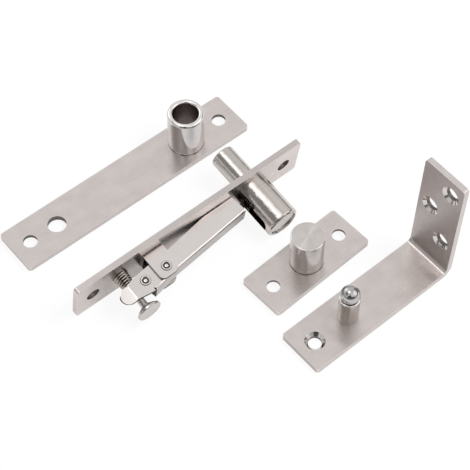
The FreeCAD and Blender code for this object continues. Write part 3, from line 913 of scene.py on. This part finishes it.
def coil(name, around=14, steps_a_turn=40):
    """Wire wound round the z axis, with about a turn closed up at each end."""
    closed, closed_pitch = 0.8, 1.9
    steps = int(turns * steps_a_turn)
    span = spring_high - spring_low - 2 * wire_radius
    closed_rise = closed * wire_radius * closed_pitch
    open_rate = (span - 2 * closed_rise) / (turns - 2 * closed)
    closed_rate = closed_rise / closed
    points, normals, faces = [], [], []
    height = spring_low + wire_radius
    for j in range(steps + 1):
        turn = turns * j / steps
        ramp = min(1.0, max(0.0, min(turn, turns - turn) / closed - 0.5))
        rate = closed_rate + (open_rate - closed_rate) * ramp
        if j:
            height += rate * turns / steps
        angle = 2 * math.pi * turn
        outward = Vector((math.cos(angle), math.sin(angle), 0))
        coil_radius = foot_coil_radius + (top_coil_radius - foot_coil_radius) * j / steps
        for k in range(around):
            swing = 2 * math.pi * k / around
            normal = outward * math.cos(swing) + z_way * math.sin(swing)
            points.append(outward * coil_radius + z_way * height + normal * wire_radius)
            normals.append(normal)
    for j in range(steps):
        for k in range(around):
            a = j * around + k
            b = j * around + (k + 1) % around
            faces.append([a, a + around, b + around, b])
    faces.append(list(range(around)))
    faces.append(list(range(len(points) - 1, len(points) - 1 - around, -1)))
    top = max(point.z for point in points)
    share = (spring_high - spring_low) / (top - spring_low)
    for point in points:
        point.z = spring_low + (point.z - spring_low) * share
    return mesh_object(name, points, faces, normals)


keep(coil("return_spring_wire"))
print("spring faces", len(pieces["return_spring_wire"].data.polygons))

# %% [markdown]
# ## Put every piece in its place
#
# The pieces were drawn on their own axes. Here each is laid into its fitting's frame and hung on the body
# that carries it, and the CAD node it stands for is hidden and its box compared with the piece's.

# %% Places, bodies and CAD nodes


def on_axis(x, z=0.0):
    """Matrix to an upright axis on the middle line of a plate."""
    return Matrix.Translation((x, middle, z))


still = Matrix.Identity(4)
places = {
    "socket_plate_satin": (socket_side, still, "fittings", "socket_plate", "plate_steel"),
    "pin_socket_polished": (socket_side, on_axis(pin_x), "fittings", "pin_socket", "polished_steel"),
    "pivot_plate_satin": (pivot_side, still, "fittings", "pivot_plate", "plate_steel"),
    "pin_barrel_bright": (pivot_side, on_axis(pin_x), "fittings", "pin_barrel", "turned_steel"),
    "barrel_end_cap_bright": (pivot_side, on_axis(pin_x), "fittings", "barrel_end_cap", "turned_steel"),
    "pivot_pin_ground": (pivot_side, on_axis(pin_x), "pin", "pivot_pin", "ground_steel"),
    "lever_bracket_plated": (pivot_side, on_axis(0), "fittings", "lever_bracket", "folded_sheet"),
    "retracting_lever_plated": (pivot_side, on_axis(0), "lever", "retracting_lever", "folded_sheet"),
    "fulcrum_rivet_bright": (pivot_side, sideways(*fulcrum, middle), "fittings", "fulcrum_rivet",
                             "rivet_steel"),
    "tie_rivet_bright": (pivot_side, sideways(*tie, middle), "lever", "tie_rivet", "rivet_steel"),
    "adjusting_screw_satin": (pivot_side, on_axis(screw_inset), "screw", "adjusting_screw", "screw_steel"),
    "return_spring_wire": (pivot_side, on_axis(screw_inset), "fittings", "return_spring", "spring_steel"),
    "cup_plate_satin": (cup_side, still, "fittings", "cup_plate", "plate_steel"),
    "pivot_cup_turned": (cup_side, on_axis(cup_x), "fittings", "pivot_cup", "cup_steel"),
    "jamb_bracket_satin": (jamb_side, still, "fittings", "jamb_bracket", "plate_steel"),
    "lower_pin_ground": (jamb_side, on_axis(pivot_inset), "fittings", "lower_pin", "ground_steel"),
    "pivot_ball_polished": (jamb_side, on_axis(pivot_inset, pin_reach_up + ball_rise), "fittings",
                            "pivot_ball", "polished_steel"),
}
for name, (side, local, body, node, slot) in places.items():
    piece = pieces[name]
    piece.matrix_world = side @ local
    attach(piece, body)
    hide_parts(node)
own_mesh(pieces["return_spring_wire"])
for name, (_, _, _, node, _) in places.items():
    low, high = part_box(node)
    corners = [pieces[name].matrix_world @ Vector(c) for c in pieces[name].bound_box]
    made_low = Vector(map(min, zip(*corners)))
    worst = max(abs(a - b) for a, b in zip(made_low, low)) / mm
    print("%-26s lowest corner off its node by %.2f mm" % (name, worst))

# %% [markdown]
# ## Finishes
#
# Steel has no colour of its own to speak of. What tells satin from polish is how wide a reflection
# spreads and which way the tool marks run. The marks are made in node groups, so that every finish
# takes the same brush, lathe and wear with values of its own: a brush leaves long lines along the
# bar, a lathe leaves rings round the axis, handling leaves soft cloudy patches, and edges are rubbed
# bright.

# %% Small helpers for node trees


def new_group(name, outputs, inputs=()):
    """Empty shader group with number sockets; inputs are (name, value)."""
    group = bpy.data.node_groups.new(name, "ShaderNodeTree")
    for label, value in inputs:
        socket = group.interface.new_socket(label, in_out="INPUT", socket_type="NodeSocketFloat")
        socket.default_value = value
    for label in outputs:
        group.interface.new_socket(label, in_out="OUTPUT", socket_type="NodeSocketFloat")
    return group, group.nodes.new("NodeGroupInput"), group.nodes.new("NodeGroupOutput")


def add_node(tree, kind, links=(), fixed=None, **values):
    """Node with its values set; links are (from socket, input), fixed are inputs with their values."""
    node = tree.nodes.new(kind)
    for key, value in values.items():
        setattr(node, key, value)
    for source, target in links:
        tree.links.new(source, node.inputs[target])
    for target, value in (fixed or {}).items():
        node.inputs[target].default_value = value
    return node


def calculate(tree, operation, first, second):
    """Result of a sum or the like of two sockets; the second may be a number."""
    if isinstance(second, float):
        node = add_node(tree, "ShaderNodeMath", [(first, 0)], {1: second}, operation=operation)
    else:
        node = add_node(tree, "ShaderNodeMath", [(first, 0), (second, 1)], operation=operation)
    return node.outputs[0]


def scaled_place(tree, scale):
    """Object coordinates times a constant vector."""
    place = add_node(tree, "ShaderNodeTexCoord").outputs["Object"]
    return add_node(tree, "ShaderNodeVectorMath", [(place, 0)], {1: scale}, operation="MULTIPLY").outputs[0]


def noise(tree, place, scale, detail):
    """Value of a noise at a place."""
    fixed = {"Scale": scale, "Detail": detail}
    return add_node(tree, "ShaderNodeTexNoise", [(place, "Vector")], fixed).outputs["Fac"]


def stretch(tree, value, low, high, to_low=0.0, to_high=1.0):
    """Map a value from one range to another."""
    fixed = {"From Min": low, "From Max": high, "To Min": to_low, "To Max": to_high}
    return add_node(tree, "ShaderNodeMapRange", [(value, "Value")], fixed).outputs["Result"]


# %% Shared marks: brush, lathe, handling and rubbed edges


def brush_lines(tree):
    """Fine and broad lines along x."""
    return (noise(tree, scaled_place(tree, (60, 5200, 5200)), 1.0, 2.0),
            noise(tree, scaled_place(tree, (25, 900, 900)), 1.0, 2.0))


def lathe_rings(tree):
    """Fine and broad rings round z: they follow the radius on an end face and the height on a side."""
    place = add_node(tree, "ShaderNodeTexCoord").outputs["Object"]
    parts = add_node(tree, "ShaderNodeSeparateXYZ", [(place, 0)]).outputs
    flat = add_node(tree, "ShaderNodeCombineXYZ", [(parts["X"], "X"), (parts["Y"], "Y")])
    radius = add_node(tree, "ShaderNodeVectorMath", [(flat.outputs[0], 0)], operation="LENGTH")
    ring = add_node(tree, "ShaderNodeCombineXYZ", [(radius.outputs["Value"], "X"), (parts["Z"], "Y")])
    return noise(tree, ring.outputs[0], 6500.0, 1.0), noise(tree, ring.outputs[0], 1500.0, 2.0)


def tool_group(name, lines):
    """What a tool leaves: a height, and a value that says how much each line scatters."""
    group, _, ends = new_group(name, ["Height", "Scatter"])
    both = calculate(group, "ADD", *lines(group))
    group.links.new(both, ends.inputs["Height"])
    group.links.new(stretch(group, both, 0.6, 1.4), ends.inputs["Scatter"])
    return group


def handling_group():
    """Soft cloudy patches that fingers and cloths leave, and the waves under them."""
    group, _, ends = new_group("handling", ["Patches", "Waves"])
    clouds = noise(group, scaled_place(group, (1, 1, 1)), 130.0, 4.0)
    group.links.new(stretch(group, clouds, 0.35, 0.7), ends.inputs["Patches"])
    group.links.new(noise(group, scaled_place(group, (1, 1, 1)), 420.0, 2.0), ends.inputs["Waves"])
    return group


def rubbed_group():
    """Mask of the edges that handling has rubbed bright."""
    group, starts, ends = new_group("rubbed edges", ["Mask"], [("Width", 0.4 * mm)])
    soft = add_node(group, "ShaderNodeBevel", [(starts.outputs["Width"], "Radius")], samples=4)
    sharp = add_node(group, "ShaderNodeNewGeometry")
    near = add_node(group, "ShaderNodeVectorMath",
                    [(soft.outputs["Normal"], 0), (sharp.outputs["Normal"], 1)], operation="DOT_PRODUCT")
    group.links.new(stretch(group, near.outputs["Value"], 0.995, 0.86), ends.inputs["Mask"])
    return group


marks = {"brush": tool_group("brushed lines", brush_lines), "lathe": tool_group("lathe rings", lathe_rings),
         "handling": handling_group(), "rubbed": rubbed_group()}
print("groups", sorted(marks))

# %% Steel, with the marks of its tool


def steel(name, colour, rough, tool, depth, spread=0.04, grain=0.0, shade=0.9, patches=0.03, wave=0.0):
    """A bare metal finish.

    colour is the lit colour, rough how wide a reflection spreads, tool "brush" or "lathe", depth the
    height of its marks in metres, spread how much the marks change the roughness, grain the share by
    which a reflection is longer across the marks, shade the darkest tint of the patches, patches what
    they add to the roughness, wave the height in metres of the slight unevenness that drawing or
    forging leaves.
    """
    material = bpy.data.materials.new(name)
    material.use_nodes = True
    tree = material.node_tree
    shader = tree.nodes["Principled BSDF"]
    lines, hands, edges = (add_node(tree, "ShaderNodeGroup", node_tree=marks[key]).outputs
                           for key in (tool, "handling", "rubbed"))
    worn = calculate(tree, "MULTIPLY", hands["Patches"], lines["Scatter"])
    tints = {"A": (*colour, 1), "B": (*[c * shade for c in colour], 1)}
    tint = add_node(tree, "ShaderNodeMix", [(worn, "Factor")], tints, data_type="RGBA")
    rubbed = {"B": (*[min(1.0, c * rubbed_gain) for c in colour], 1)}
    bright = add_node(tree, "ShaderNodeMix", [(edges["Mask"], "Factor"), (tint.outputs["Result"], "A")],
                      rubbed, data_type="RGBA")
    by_lines = stretch(tree, lines["Scatter"], 0.0, 1.0, rough - spread, rough + spread)
    by_hands = stretch(tree, hands["Patches"], 0.0, 1.0, 0.0, patches)
    bump = add_node(tree, "ShaderNodeBump", [(lines["Height"], "Height")],
                    {"Strength": 1.0, "Distance": depth})
    if wave:
        uneven = add_node(tree, "ShaderNodeBump", [(hands["Waves"], "Height")],
                          {"Strength": 1.0, "Distance": wave})
        tree.links.new(uneven.outputs["Normal"], bump.inputs["Normal"])
    tree.links.new(bright.outputs["Result"], shader.inputs["Base Color"])
    tree.links.new(calculate(tree, "ADD", by_lines, by_hands), shader.inputs["Roughness"])
    tree.links.new(bump.outputs["Normal"], shader.inputs["Normal"])
    shader.inputs["Metallic"].default_value = 1.0
    shader.inputs["Anisotropic"].default_value = grain
    if grain and tool == "lathe":
        way = add_node(tree, "ShaderNodeTangent", direction_type="RADIAL", axis="Z")
        tree.links.new(way.outputs["Tangent"], shader.inputs["Tangent"])
        shader.inputs["Anisotropic Rotation"].default_value = quarter_turn
    elif grain:
        along = add_node(tree, "ShaderNodeCombineXYZ", fixed={"Y": 1.0})
        way = add_node(tree, "ShaderNodeVectorTransform", [(along.outputs[0], "Vector")],
                       vector_type="VECTOR", convert_from="OBJECT", convert_to="WORLD")
        tree.links.new(way.outputs["Vector"], shader.inputs["Tangent"])
    return material


rubbed_gain = 1.18
quarter_turn = 0.25
finish_values = {
    # The bracket's upright is a darker copy of the satin plate: painted shade.
    "upright painted shade": ((0.56, 0.512, 0.494), 0.33, "brush", 0.14e-6, 0.035, 0.75, 0.84),
    # The plates' long edges: rougher and without grain, which is their own, and a little darker than the faces as
    # painted shade.
    "plate edge with painted shade": ((0.58, 0.532, 0.515), 0.33, "brush", 0.3e-6, 0.05, 0.0, 0.86),
    "satin plate": ((0.68, 0.622, 0.60), 0.28, "brush", 0.14e-6, 0.035, 0.75, 0.82, 0.05),
    "polished": ((0.60, 0.572, 0.56), 0.05, "lathe", 0.05e-6, 0.01, 0.0, 0.92, 0.03, 8e-6),
    "buffed lip": ((0.77, 0.74, 0.73), 0.06, "lathe", 0.05e-6, 0.01, 0.0, 0.94, 0.02, 8e-6),
    "ball": ((0.47, 0.46, 0.455), 0.05, "lathe", 0.02e-6, 0.01, 0.0, 0.94, 0.02),
    "bright turned": ((0.59, 0.543, 0.512), 0.12, "lathe", 0.3e-6, 0.04, 0.5, 0.84, 0.06, 120e-6),
    "cap": ((0.54, 0.512, 0.495), 0.2, "lathe", 0.3e-6, 0.04, 0.5, 0.86, 0.05),
    "ground": ((0.58, 0.543, 0.508), 0.15, "lathe", 0.6e-6, 0.06, 0.5, 0.82, 0.07, 100e-6),
    "ringed": ((0.45, 0.417, 0.388), 0.13, "lathe", 6e-6, 0.1, 0.4, 0.55, 0.05, 20e-6),
    "cup turned": ((0.52, 0.485, 0.467), 0.14, "lathe", 0.2e-6, 0.04, 0.5, 0.82, 0.04, 20e-6),
    "faced end": ((0.64, 0.60, 0.575), 0.3, "lathe", 0.12e-6, 0.03, 0.92, 0.86),
    "plated sheet": ((0.77, 0.72, 0.70), 0.15, "brush", 0.2e-6, 0.03, 0.0, 0.9, 0.04, 6e-6),
    # The lever's web is a darker copy of the plated sheet: painted shade.
    "sheet back painted shade": ((0.43, 0.397, 0.385), 0.2, "brush", 0.2e-6, 0.04, 0.0, 0.88, 0.05, 4e-6),
    # Near black for the cut edges and bevels of the sheet parts and for the lever's tongue: painted shade of the
    # gaps and of the barrel's slot.
    "sheared edge painted shade": ((0.035, 0.03, 0.028), 0.42, "brush", 0.6e-6, 0.08),
    "rivet": ((0.78, 0.75, 0.73), 0.11, "lathe", 0.2e-6, 0.03),
    "screw": ((0.53, 0.505, 0.487), 0.18, "lathe", 0.3e-6, 0.04, 0.3),
    "spring wire": ((0.49, 0.435, 0.39), 0.12, "lathe", 0.2e-6, 0.05),
    "countersunk": ((0.62, 0.585, 0.565), 0.09, "lathe", 0.2e-6, 0.03),
    # Dark colours for the walls of holes, bores and slots and for a few other hollows and gaps: painted shade.
    # Their roughness is the drill's.
    "drilled wall painted shade": ((0.16, 0.14, 0.132), 0.4, "lathe", 0.8e-6, 0.08),
    "bored wall painted shade": ((0.11, 0.088, 0.08), 0.42, "lathe", 0.8e-6, 0.08),
    "reamed bore painted shade": ((0.23, 0.19, 0.178), 0.3, "lathe", 0.8e-6, 0.08),
}
finishes = {name: steel(name, *values) for name, values in finish_values.items()}
print("finishes", len(finishes))

# %% [markdown]
# ## Which face has which finish
#
# A fitting isn't finished all over: holes stay as the drill left them, lips are buffed, and the cut edges
# of the sheet stay rough. Some faces also get painted shade: the walls of holes, bores and slots, the
# cut edges and bevels of the sheet, the lever's tongue in the barrel, the lever's web, the bracket's
# upright, the thread inside the spring, the groove under the screw's head, the ball's foot in its seat and
# the outline and bore of each rivet are coloured darker where shade falls, and the plates' long edges a
# little darker. A painted mask could say where, but it would go astray when a size changes. So the faces
# are picked by their place and direction, as the tools reached them or as shade falls on them.

# %% Each piece's finish
plates = ["socket_plate_satin", "pivot_plate_satin", "cup_plate_satin", "jamb_bracket_satin"]
wears = {
    "satin plate": plates,
    "polished": ["pin_socket_polished"],
    "ball": ["pivot_ball_polished"],
    "bright turned": ["pin_barrel_bright"],
    "cap": ["barrel_end_cap_bright"],
    "ground": ["pivot_pin_ground"],
    "ringed": ["lower_pin_ground"],
    "cup turned": ["pivot_cup_turned"],
    "plated sheet": ["lever_bracket_plated", "retracting_lever_plated"],
    "rivet": rivets,
    "screw": ["adjusting_screw_satin"],
    "spring wire": ["return_spring_wire"],
}
slack = 0.02 * mm


def coat(name, finish, test):
    """Give the faces of a piece that pass a test another finish."""
    mesh = pieces[name].data
    label = finishes[finish].name
    if label not in mesh.materials:
        mesh.materials.append(finishes[finish])
    number = mesh.materials.find(label)
    for face in mesh.polygons:
        if test(face):
            face.material_index = number


def coat_wall(name, finish, foot, way, radius, low, high, steep=0.5):
    """Coat the faces inside a hole; foot and way are its axis, low and high its ends along it."""
    axis = Vector(way).normalized()

    def inside(face):
        reach = face.center - Vector(foot)
        along = reach.dot(axis)
        out = (reach - axis * along).length
        return out < radius + slack and low < along < high and abs(face.normal.dot(axis)) < steep

    coat(name, finish, inside)


def coat_end(name, finish, above, flattest=1.0):
    """Coat the bare faces at the upper end of a turned piece, from steep ones up to flattest."""
    def shown(face):
        turned_up = 0.2 < face.normal.z <= flattest + 1e-4
        return face.material_index == 0 and face.center.z > above and turned_up

    coat(name, finish, shown)


# Each piece takes its finish; faces in slot 1, the sheet's cut edges and bevels, take the near-black painted
# shade.
for finish, names in wears.items():
    for name in names:
        mesh = pieces[name].data
        at_edge = {face.index for face in mesh.polygons if face.material_index == 1}
        mesh.materials.clear()
        coat(name, finish, lambda face: True)
        if at_edge:
            coat(name, "sheared edge painted shade", lambda face: face.index in at_edge)
# The long edges of the plates are rougher than the faces, and their darker tone is painted shade.
for name in plates:
    coat(name, "plate edge with painted shade", lambda face: abs(face.normal.y) > 0.99
         and min(face.center.y, plate_width - face.center.y) < slack)
# The upright of the L bracket takes the darker copy of the satin plate: painted shade.
coat("jamb_bracket_satin", "upright painted shade", lambda face: face.normal.dot(inward_way) > 0.9)
print("finishes of the L bracket", [each.name for each in pieces["jamb_bracket_satin"].data.materials])

# %% Holes, bores, rims and cut edges: painted shade, and the buffed lips
through = (-plate_thickness - 1 * mm, 1 * mm)
on_z = ((0, 0, 0), z_way)
any_slope = 1.01
lip_depth, bore_rim, seat_line = 1.4 * mm, 1.3 * mm, 0.55 * mm
chamfer_depth, faced_depth, seat_rim = 0.4 * mm, 0.1 * mm, 0.5 * mm
slot_spot, slot_reach_in, slot_reach_out = (-4 * mm, 0, 0), -5 * mm, 4 * mm
thread_shade = 8 * mm
rivet_ring, rivet_rim, rivet_stem = 2.3 * mm, 0.42 * mm, 1.0 * mm
groove_low, groove_high, groove_radius = head_face - 2.3 * mm, head_face - 1.5 * mm, head_radius - 1.6 * mm
# The walls of the screw holes and the access hole are coloured dark: painted shade inside the holes. The
# countersinks keep their own bright finish.
for name, length, inset in (("socket_plate_satin", long_plate_length, long_hole_inset),
                            ("pivot_plate_satin", long_plate_length, long_hole_inset),
                            ("cup_plate_satin", short_plate_length, short_hole_inset)):
    for x in (inset, length - inset):
        coat_wall(name, "drilled wall painted shade", (x, middle, 0), z_way, sink_radius, *through, steep=0.9)
coat_wall("socket_plate_satin", "drilled wall painted shade", (screw_inset, middle, 0), z_way, access_radius, *through)
for foot, way in [((base_hole_inset, middle, 0), z_way)] + [(hole, inward_way) for hole in jamb_holes]:
    coat_wall("jamb_bracket_satin", "countersunk", foot, way, sink_radius, *through, steep=0.9)
    coat_wall("jamb_bracket_satin", "drilled wall painted shade", foot, way, short_hole_radius, *through, steep=0.3)
# The bores and the barrel's slot are coloured dark: painted shade inside them.
coat_wall("pin_socket_polished", "reamed bore painted shade", *on_z, socket_bore_radius, -plate_thickness,
          socket_height - bore_rim)
coat_wall("pivot_cup_turned", "bored wall painted shade", *on_z, cup_bore_radius, -plate_thickness, cup_height)
coat_wall("pin_barrel_bright", "reamed bore painted shade", *on_z, barrel_bore_radius, -plate_thickness, barrel_length)
coat_wall("pin_barrel_bright", "drilled wall painted shade", slot_spot, x_way, slot_half, slot_reach_in, slot_reach_out)
# The seat under the ball and a band round the ball's foot are coloured dark: painted shade where the ball sits in
# its seat.
coat_wall("lower_pin_ground", "bored wall painted shade", *on_z, seat_mouth, pin_reach_up - seat_depth, pin_reach_up,
          any_slope)
coat_wall("pivot_ball_polished", "bored wall painted shade", *on_z, ball_radius, -ball_radius, seat_line - ball_rise,
          any_slope)
coat_end("pin_socket_polished", "buffed lip", socket_height - lip_depth)
coat_end("pivot_cup_turned", "buffed lip", cup_height - chamfer_depth, flattest=0.93)
coat_end("pivot_cup_turned", "faced end", cup_height - faced_depth)
coat_end("lower_pin_ground", "buffed lip", pin_reach_up - seat_rim)
# The thread inside the coil and the groove under the screw's head are coloured dark: painted shade of the spring
# and of the groove.
coat("adjusting_screw_satin", "drilled wall painted shade", lambda face: face.center.z < thread_shade
     or (groove_low < face.center.z < groove_high and face.center.xy.length > groove_radius))
# The edges of the bracket's sheet that face the nose are coloured dark: painted shade in the gap beside the ears.
coat("lever_bracket_plated", "drilled wall painted shade", lambda face: face.normal.x < -0.7)
# The tongue that reaches into the barrel's slot is coloured near black: painted shade of the slot.
web_end = back_end_x + 0.1 * mm
coat("retracting_lever_plated", "sheared edge painted shade", lambda face: face.center.x > web_end)
# The lever's web takes the darker copy of the plated sheet: painted shade.
coat("retracting_lever_plated", "sheet back painted shade",
     lambda face: web_start_x < face.center.x <= web_end and face.normal.z > 0.9)
# Each rivet's head side, its bore and the ends of its stem are coloured dark: painted shade, which draws the dark
# outline and the dark centre.
for name, half_grip in rivets.items():
    tip_z = half_grip + rivet_roll
    coat(name, "bored wall painted shade", lambda face: face.center.xy.length > rivet_ring and abs(face.normal.z) < 0.8)
    for low, high in ((tip_z - rivet_stem, tip_z - rivet_rim), (rivet_rim - tip_z, rivet_stem - tip_z)):
        coat_wall(name, "bored wall painted shade", *on_z, rivet_head, low, high, any_slope)
for node in frame["nodes"].values():
    node.data.materials.clear()
    node.data.materials.append(finishes["satin plate"])
print("finishes on each piece", {name: len(piece.data.materials) for name, piece in pieces.items()})

# %% [markdown]
# ## A white table and a light tent
#
# Bright metal shows whatever stands round it, so the studio is built for the reflections: a white tent
# all round, brighter where a soft box hangs above, darker near the horizon and where a black flag
# stands. Those edges are what draws the bands down the turned pieces. The table is white for the
# camera, and still takes a little of the set's shadow.

# %% Table
reach = 3.0
table = mesh_object("table", [(-reach, -reach, 0), (reach, -reach, 0), (reach, reach, 0), (-reach, reach, 0)],
                    [(0, 1, 2, 3)])
table.location.z = -0.2 * mm
table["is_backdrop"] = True


def seen_directly(tree, path):
    """Whether a ray comes from the camera."""
    return calculate(tree, "MAXIMUM", path.outputs["Is Camera Ray"], path.outputs["Is Transmission Ray"])


white_for_camera, white_for_mirrors = 0.9, 0.5
cloth = bpy.data.materials.new("table white")
cloth.use_nodes = True
weave = cloth.node_tree
weave.nodes.clear()
ray = add_node(weave, "ShaderNodeLightPath")
seen = calculate(weave, "MULTIPLY", seen_directly(weave, ray), white_for_camera)
mirrored = calculate(weave, "MULTIPLY", ray.outputs["Is Glossy Ray"], white_for_mirrors)
white_share = calculate(weave, "MAXIMUM", seen, mirrored)
matt = add_node(weave, "ShaderNodeBsdfDiffuse", fixed={"Color": (0.9, 0.9, 0.9, 1)})
glow = add_node(weave, "ShaderNodeEmission")
mix = add_node(weave, "ShaderNodeMixShader",
               [(white_share, 0), (matt.outputs[0], 1), (glow.outputs[0], 2)])
add_node(weave, "ShaderNodeOutputMaterial", [(mix.outputs[0], "Surface")])
table.data.materials.append(cloth)
print("table at", round(table.location.z / mm, 2), "mm")

# %% Tent: how bright the studio is in each direction
world = bpy.data.worlds.new("tent")
bpy.context.scene.world = world
world.use_nodes = True
tent = world.node_tree
tent.nodes.clear()
direction = add_node(tent, "ShaderNodeTexCoord").outputs["Generated"]
height = add_node(tent, "ShaderNodeSeparateXYZ", [(direction, 0)]).outputs["Z"]
wall = add_node(tent, "ShaderNodeValToRGB", [(height, "Fac")])
wall_steps = [(0.0, 0.3), (0.1, 0.34), (0.24, 0.84), (0.5, 0.95), (0.8, 1.02), (0.9, 0.93), (1.0, 0.9)]
for place_on_wall, level_there in wall_steps:
    stop = wall.color_ramp.elements.new(place_on_wall) if place_on_wall not in (0.0, 1.0) else None
    stop = stop or wall.color_ramp.elements[0 if place_on_wall == 0.0 else -1]
    stop.color = (level_there, level_there, level_there, 1)


def patch_of_light(brightness, bearing, rise, inner, outer, level_there):
    """Set a round patch of the tent to another brightness; its place and radii are in degrees."""
    a, e = math.radians(bearing), math.radians(rise)
    middle_way = (math.cos(a) * math.cos(e), math.sin(a) * math.cos(e), math.sin(e))
    toward = add_node(tent, "ShaderNodeVectorMath", [(direction, 0)], {1: middle_way},
                      operation="DOT_PRODUCT")
    mask = stretch(tent, toward.outputs["Value"], math.cos(math.radians(outer)),
                   math.cos(math.radians(inner)))
    mix = add_node(tent, "ShaderNodeMix", [(mask, "Factor"), (brightness, "A")], {"B": level_there})
    return mix.outputs["Result"]


brightness = wall.outputs["Color"]
patches_of_light = [(235, 4, 38, 50, 0.15), (265, 50, 12, 28, 1.25), (161, 43, 14, 21, 0.34),
                    (232, 6, 24, 31, 0.2), (348, 2, 14, 24, 0.12), (316, 38, 17, 25, 1.8),
                    (98, 32, 14, 20, 1.8), (143, 49, 8, 12, 0.4), (140, 77, 15, 20, 1.75),
                    (140, 74, 4, 6, 5.0), (224, 34, 11, 15, 0.08), (208, 28, 8, 13, 0.12),
                    (229, 54, 5, 7, 0.08)]
for values in patches_of_light:
    brightness = patch_of_light(brightness, *values)
studio_level = (0.93, 0.93, 0.93, 1)
seen_tent = add_node(tent, "ShaderNodeBackground", [(brightness, "Strength")], {"Color": studio_level})
white_wall = add_node(tent, "ShaderNodeBackground", fixed={"Color": (1, 1, 1, 1)})
soft_light = add_node(tent, "ShaderNodeBackground", fixed={"Color": (0.93, 0.93, 0.94, 1), "Strength": 0.75})
path = add_node(tent, "ShaderNodeLightPath")
lit = add_node(tent, "ShaderNodeMixShader",
               [(path.outputs["Is Glossy Ray"], 0), (soft_light.outputs[0], 1), (seen_tent.outputs[0], 2)])
shown = add_node(tent, "ShaderNodeMixShader",
                 [(seen_directly(tent, path), 0), (lit.outputs[0], 1), (white_wall.outputs[0], 2)])
add_node(tent, "ShaderNodeOutputWorld", [(shown.outputs[0], "Surface")])
print("the tent has", len(patches_of_light), "patches of light and dark")

# %% Side lamp: it points at the set, and reflections show the tent alone
lamp_place = Vector((0.4, -0.3, 0.75))
lamp_data = bpy.data.lights.new("side lamp", "AREA")
lamp_data.shape = "RECTANGLE"
lamp_data.size, lamp_data.size_y = 0.5, 0.4
lamp_data.energy = 6.0
lamp = bpy.data.objects.new("side lamp", lamp_data)
lamp.location = lamp_place
lamp.rotation_euler = (-lamp_place).to_track_quat("-Z", "Y").to_euler()
lamp.visible_glossy = False
bpy.context.scene.collection.objects.link(lamp)
print("lamp", lamp_data.energy, "W")

# %% [markdown]
# ## The camera
#
# The photograph looks down at the set at 56 degrees from well off to one side. The camera was fitted to
# the corners of the four plates, and is given as a point that it aims at, a distance and three angles.

# %% Camera
aim = Vector((0.01014, 0.00625, 0.0))
distance = 0.785389
elevation = math.radians(56.01)
swing = math.radians(39.76)
roll = math.radians(-0.43)
forward = Vector((math.sin(swing) * math.cos(elevation), math.cos(swing) * math.cos(elevation),
                  -math.sin(elevation)))
level = Vector((math.cos(swing), -math.sin(swing), 0))
down = forward.cross(level)
right = level * math.cos(roll) + down * math.sin(roll)
up = level * math.sin(roll) - down * math.cos(roll)
camera_data = bpy.data.cameras.new("camera")
camera_data.sensor_width = 36.0
camera_data.lens = 129.28
camera = bpy.data.objects.new("camera", camera_data)
turn = Matrix((right, up, -forward)).transposed().to_4x4()
camera.matrix_world = Matrix.Translation(aim - forward * distance) @ turn
bpy.context.scene.collection.objects.link(camera)
bpy.context.scene.camera = camera
bpy.context.scene.view_settings.view_transform = "Standard"
print("camera at", [round(c, 4) for c in camera.matrix_world.translation])

# %% Measure and finish
made_low, made_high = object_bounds()
for side, growth in (("low", cad_low - made_low), ("high", made_high - cad_high)):
    print("grown on the", side, "side by", [round(c / mm, 3) for c in growth], "mm")
